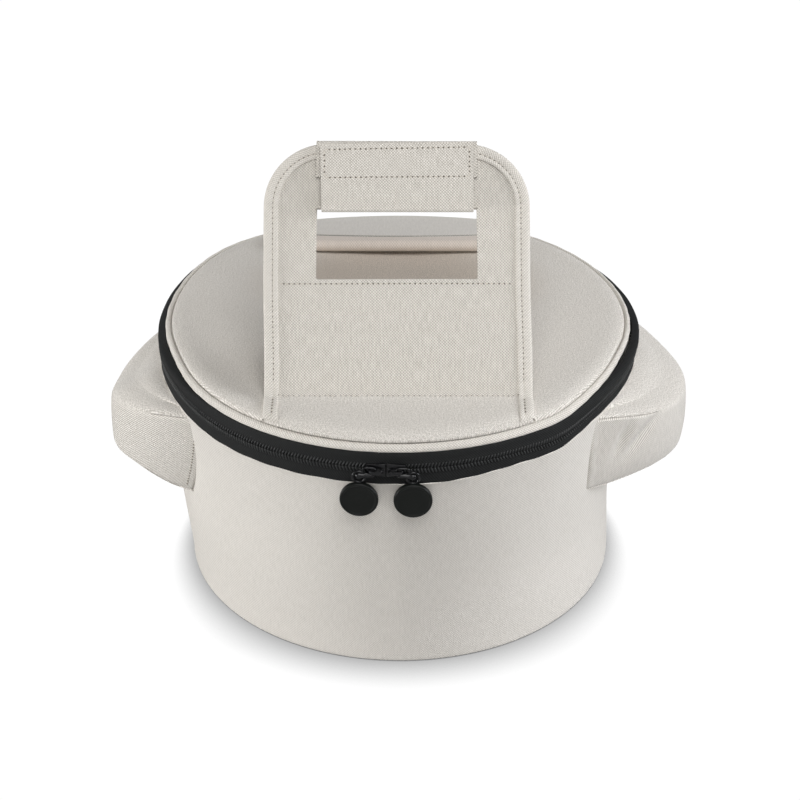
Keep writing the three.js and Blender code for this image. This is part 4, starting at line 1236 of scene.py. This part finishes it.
def buildRearHandle():
    # foot under the fold, then lengths of the panel along s: roll, flat part, rim fold, hanging part and tape
    x = np.linspace(-68, 68, 40)[:, None]
    y = np.minimum(np.linspace(90.0, 139.5, 30)[None, :] + 0 * x, np.sqrt(140.4 ** 2 - x ** 2))
    grid = together(x, y, lidHeight(np.hypot(x, y)) + 0.9)
    made = patch(settle(grid), grid[..., :2], outFrom=(0, 110, 0))
    foot = makePiece("rearFoot", [made], [canvas], weldAt=0.001)
    fitted(foot, "lid", "rear_handle_foot", thick=0.8)
    rollEnd, foldAt, low = 3, 52.5, 60.5
    rolled = rearStrip(-math.pi * rear["roll"] - 3, rollEnd, 36)
    turned = makePiece("rearRoll", rolled, [canvas, canvasPaintedShade], closed=True)
    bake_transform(turned)
    lying = rearStrip(rollEnd, foldAt, 90)
    level = makePiece("rearLower", lying, [canvas, canvasPaintedShade], closed=True)
    fitted(level, "rear_root", "rear_handle_root", "rear_binding_left", "rear_binding_right")
    over = makePiece("rearRimFold", rearStrip(foldAt, low, 16), [canvas], closed=True)
    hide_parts("rear_handle_fold")
    rearBend(53.0, 60.0)
    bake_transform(over)
    hung = makePiece("rearHanging", [panelShell(rearPlace, low, False, 30)], [canvas], closed=True)
    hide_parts("rear_handle_panel")
    rearBend(61.0, 68.0)
    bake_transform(hung)
    edging = bindingShell(rearPlace, low, False)
    tape = makePiece("rearBinding", [edging], [canvasBias], closed=True)
    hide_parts("rear_handle_binding")
    rearBend(61.0, 68.0)
    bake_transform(tape)
    onTape = 1.62
    sewn("rearHangStitches", [rowOn(rearPlace, tapeLane(low, False, 69), onTape)], "rear_hang")
    aside, along = handle["half"] - 5.6, np.linspace(5, 51, 30)
    sides = [rowOn(rearPlace, together(sgn * aside, along), onTape) for sgn in (-1, 1)]
    sewn("rearStitches", sides, "rear_root")
    across = np.linspace(-68, 68, 80)
    crease = rowOn(rearPlace, together(across, creaseLine(across) + 1.3), 1.2)
    sewn("creaseStitches", [crease], "rear_root", thread=threadDark)


buildRearHandle()
print("rear handle ready")

# zip hardware: the imported sliders, welded and eased along their edges, and pulls built new

def easedSlider(word):
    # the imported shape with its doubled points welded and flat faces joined, then bevelled along its edges
    node = f"slider_{word}"
    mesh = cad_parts[node].data.copy()
    mesh.materials.clear()
    mesh.materials.append(sliderBlack)
    work = bmesh.new()
    work.from_mesh(mesh)
    bmesh.ops.remove_doubles(work, verts=work.verts, dist=0.02 * mm)
    bmesh.ops.dissolve_limit(work, angle_limit=math.radians(2), verts=work.verts, edges=work.edges)
    work.to_mesh(mesh)
    work.free()
    mesh.polygons.foreach_set("use_smooth", np.ones(len(mesh.polygons), bool))
    piece = bpy.data.objects.new(node + "_eased", mesh)
    bpy.context.scene.collection.objects.link(piece)
    edge = piece.modifiers.new("ease", "BEVEL")
    edge.width, edge.segments, edge.limit_method, edge.angle_limit = 0.35 * mm, 2, "ANGLE", math.radians(35)
    edge.harden_normals = True
    fitted(piece, node, node)


pull = dict(azimuth=dict(left=-4.83, right=-0.47), heading=dict(left=-1, right=1), out=153.75, up=148.3,
            reach=9.5, armHalf=2.0, armBar=0.6, barDrop=2.5, barFall=1.0, ring=3.5, ringBar=0.78,
            ringDrop=4.1, disc=11.1, discHalf=1.25, drop=19.2)


def pullPlace(word, along, out, up):
    # places measured from the slider's bail: along the zip towards the pull, outwards, upwards
    a = math.radians(pull["azimuth"][word])
    along = along * pull["heading"][word]
    r = pull["out"] + out
    x, y = r * math.sin(a) + along * math.cos(a), along * math.sin(a) - r * math.cos(a)
    return together(x, y, pull["up"] + up)


def tube(word, path, radius, closed, flat=1.0):
    # a round bar along a path in the (along, up) plane, its radius given at each point
    way = unit(np.roll(path, -1, 0) - np.roll(path, 1, 0) if closed else np.gradient(path, axis=0))
    sides = 14
    a = np.arange(sides) * fullTurn / sides
    radius = np.broadcast_to(radius, len(path))[:, None]
    along = path[:, :1] - way[:, 1:] * radius * np.cos(a)
    up = path[:, 1:] + way[:, :1] * radius * np.cos(a)
    points = pullPlace(word, along, flat * radius * np.sin(a), up)
    uv = together(runLength(path)[:, None], a)
    if closed:
        points, uv = np.concatenate([points, points[:1]]), np.concatenate([uv, uv[:1] + [1.0, 0.0]])
    return patch(points, uv, wrapV=fullTurn)


def buildPull(word):
    # link: a slotted loop round the bail, drawn out to a ball
    # pull: a plain rimmed disc on a ring through the ball
    far = arcPoints((5.4, 0), pull["armHalf"], -90, 90, 16)
    near = arcPoints((1.9, 0), pull["armHalf"], 90, 270, 16)
    over, back = [np.linspace(a, b, 6)[1:-1] for a, b in ((far[-1], near[0]), (near[-1], far[0]))]
    loop = np.concatenate([far, over, near, back])
    bar = np.array([[0.5, 0.05], [0.6, 0.7], [1.0, 1.15], [1.7, 1.42], [2.6, 1.5], [4.0, 1.5], [6.0, 1.5],
                    [7.6, 1.6], [8.6, 1.95], [9.4, 2.15], [10.3, 2.0], [11.0, 1.5], [11.4, 0.8],
                    [11.5, 0.05]])
    lies = np.stack([bar[:, 0], -pull["barDrop"] - pull["barFall"] * bar[:, 0] / pull["reach"]], 1)
    made = [tube(word, loop, pull["armBar"], True), tube(word, lies, bar[:, 1], False, flat=0.85)]
    link = makePiece(f"pullLink_{word}", made, [sliderBlack], closed=True, sharp=60)
    fitted(link, f"pull_link_{word}", f"pull_link_{word}")
    eye = (pull["reach"], -pull["ringDrop"])
    ring = tube(word, arcPoints(eye, pull["ring"], 0, 354, 60), pull["ringBar"], True)
    r, h = pull["disc"], pull["discHalf"]
    face = np.array([[0.01, h - 0.15], [r - 4.6, h - 0.05], [r - 2.1, h], [r - 1.75, h + 0.12],
                     [r - 1.45, h + 0.42], [r - 1.0, h + 0.5], [r - 0.5, h + 0.42], [r - 0.12, h], [r, 0.3]])
    line = np.concatenate([face, face[::-1] * [1, -1]])
    a = (np.arange(72) * fullTurn / 72)[:, None]
    wide, out = line.T
    points = pullPlace(word, pull["reach"] + wide * np.cos(a), out + 0 * a, wide * np.sin(a) - pull["drop"])
    made = [patch(points, together(a * r, runLength(line)), wrapU=fullTurn * r, slot=1), ring]
    disc = makePiece(f"pullDisc_{word}", made, [sliderBlack, pullBlack], closed=True, sharp=50)
    fitted(disc, f"pull_disc_{word}", f"pull_disc_{word}")


for word in ("left", "right"):
    easedSlider(word)
    buildPull(word)
print("zip pulls ready")
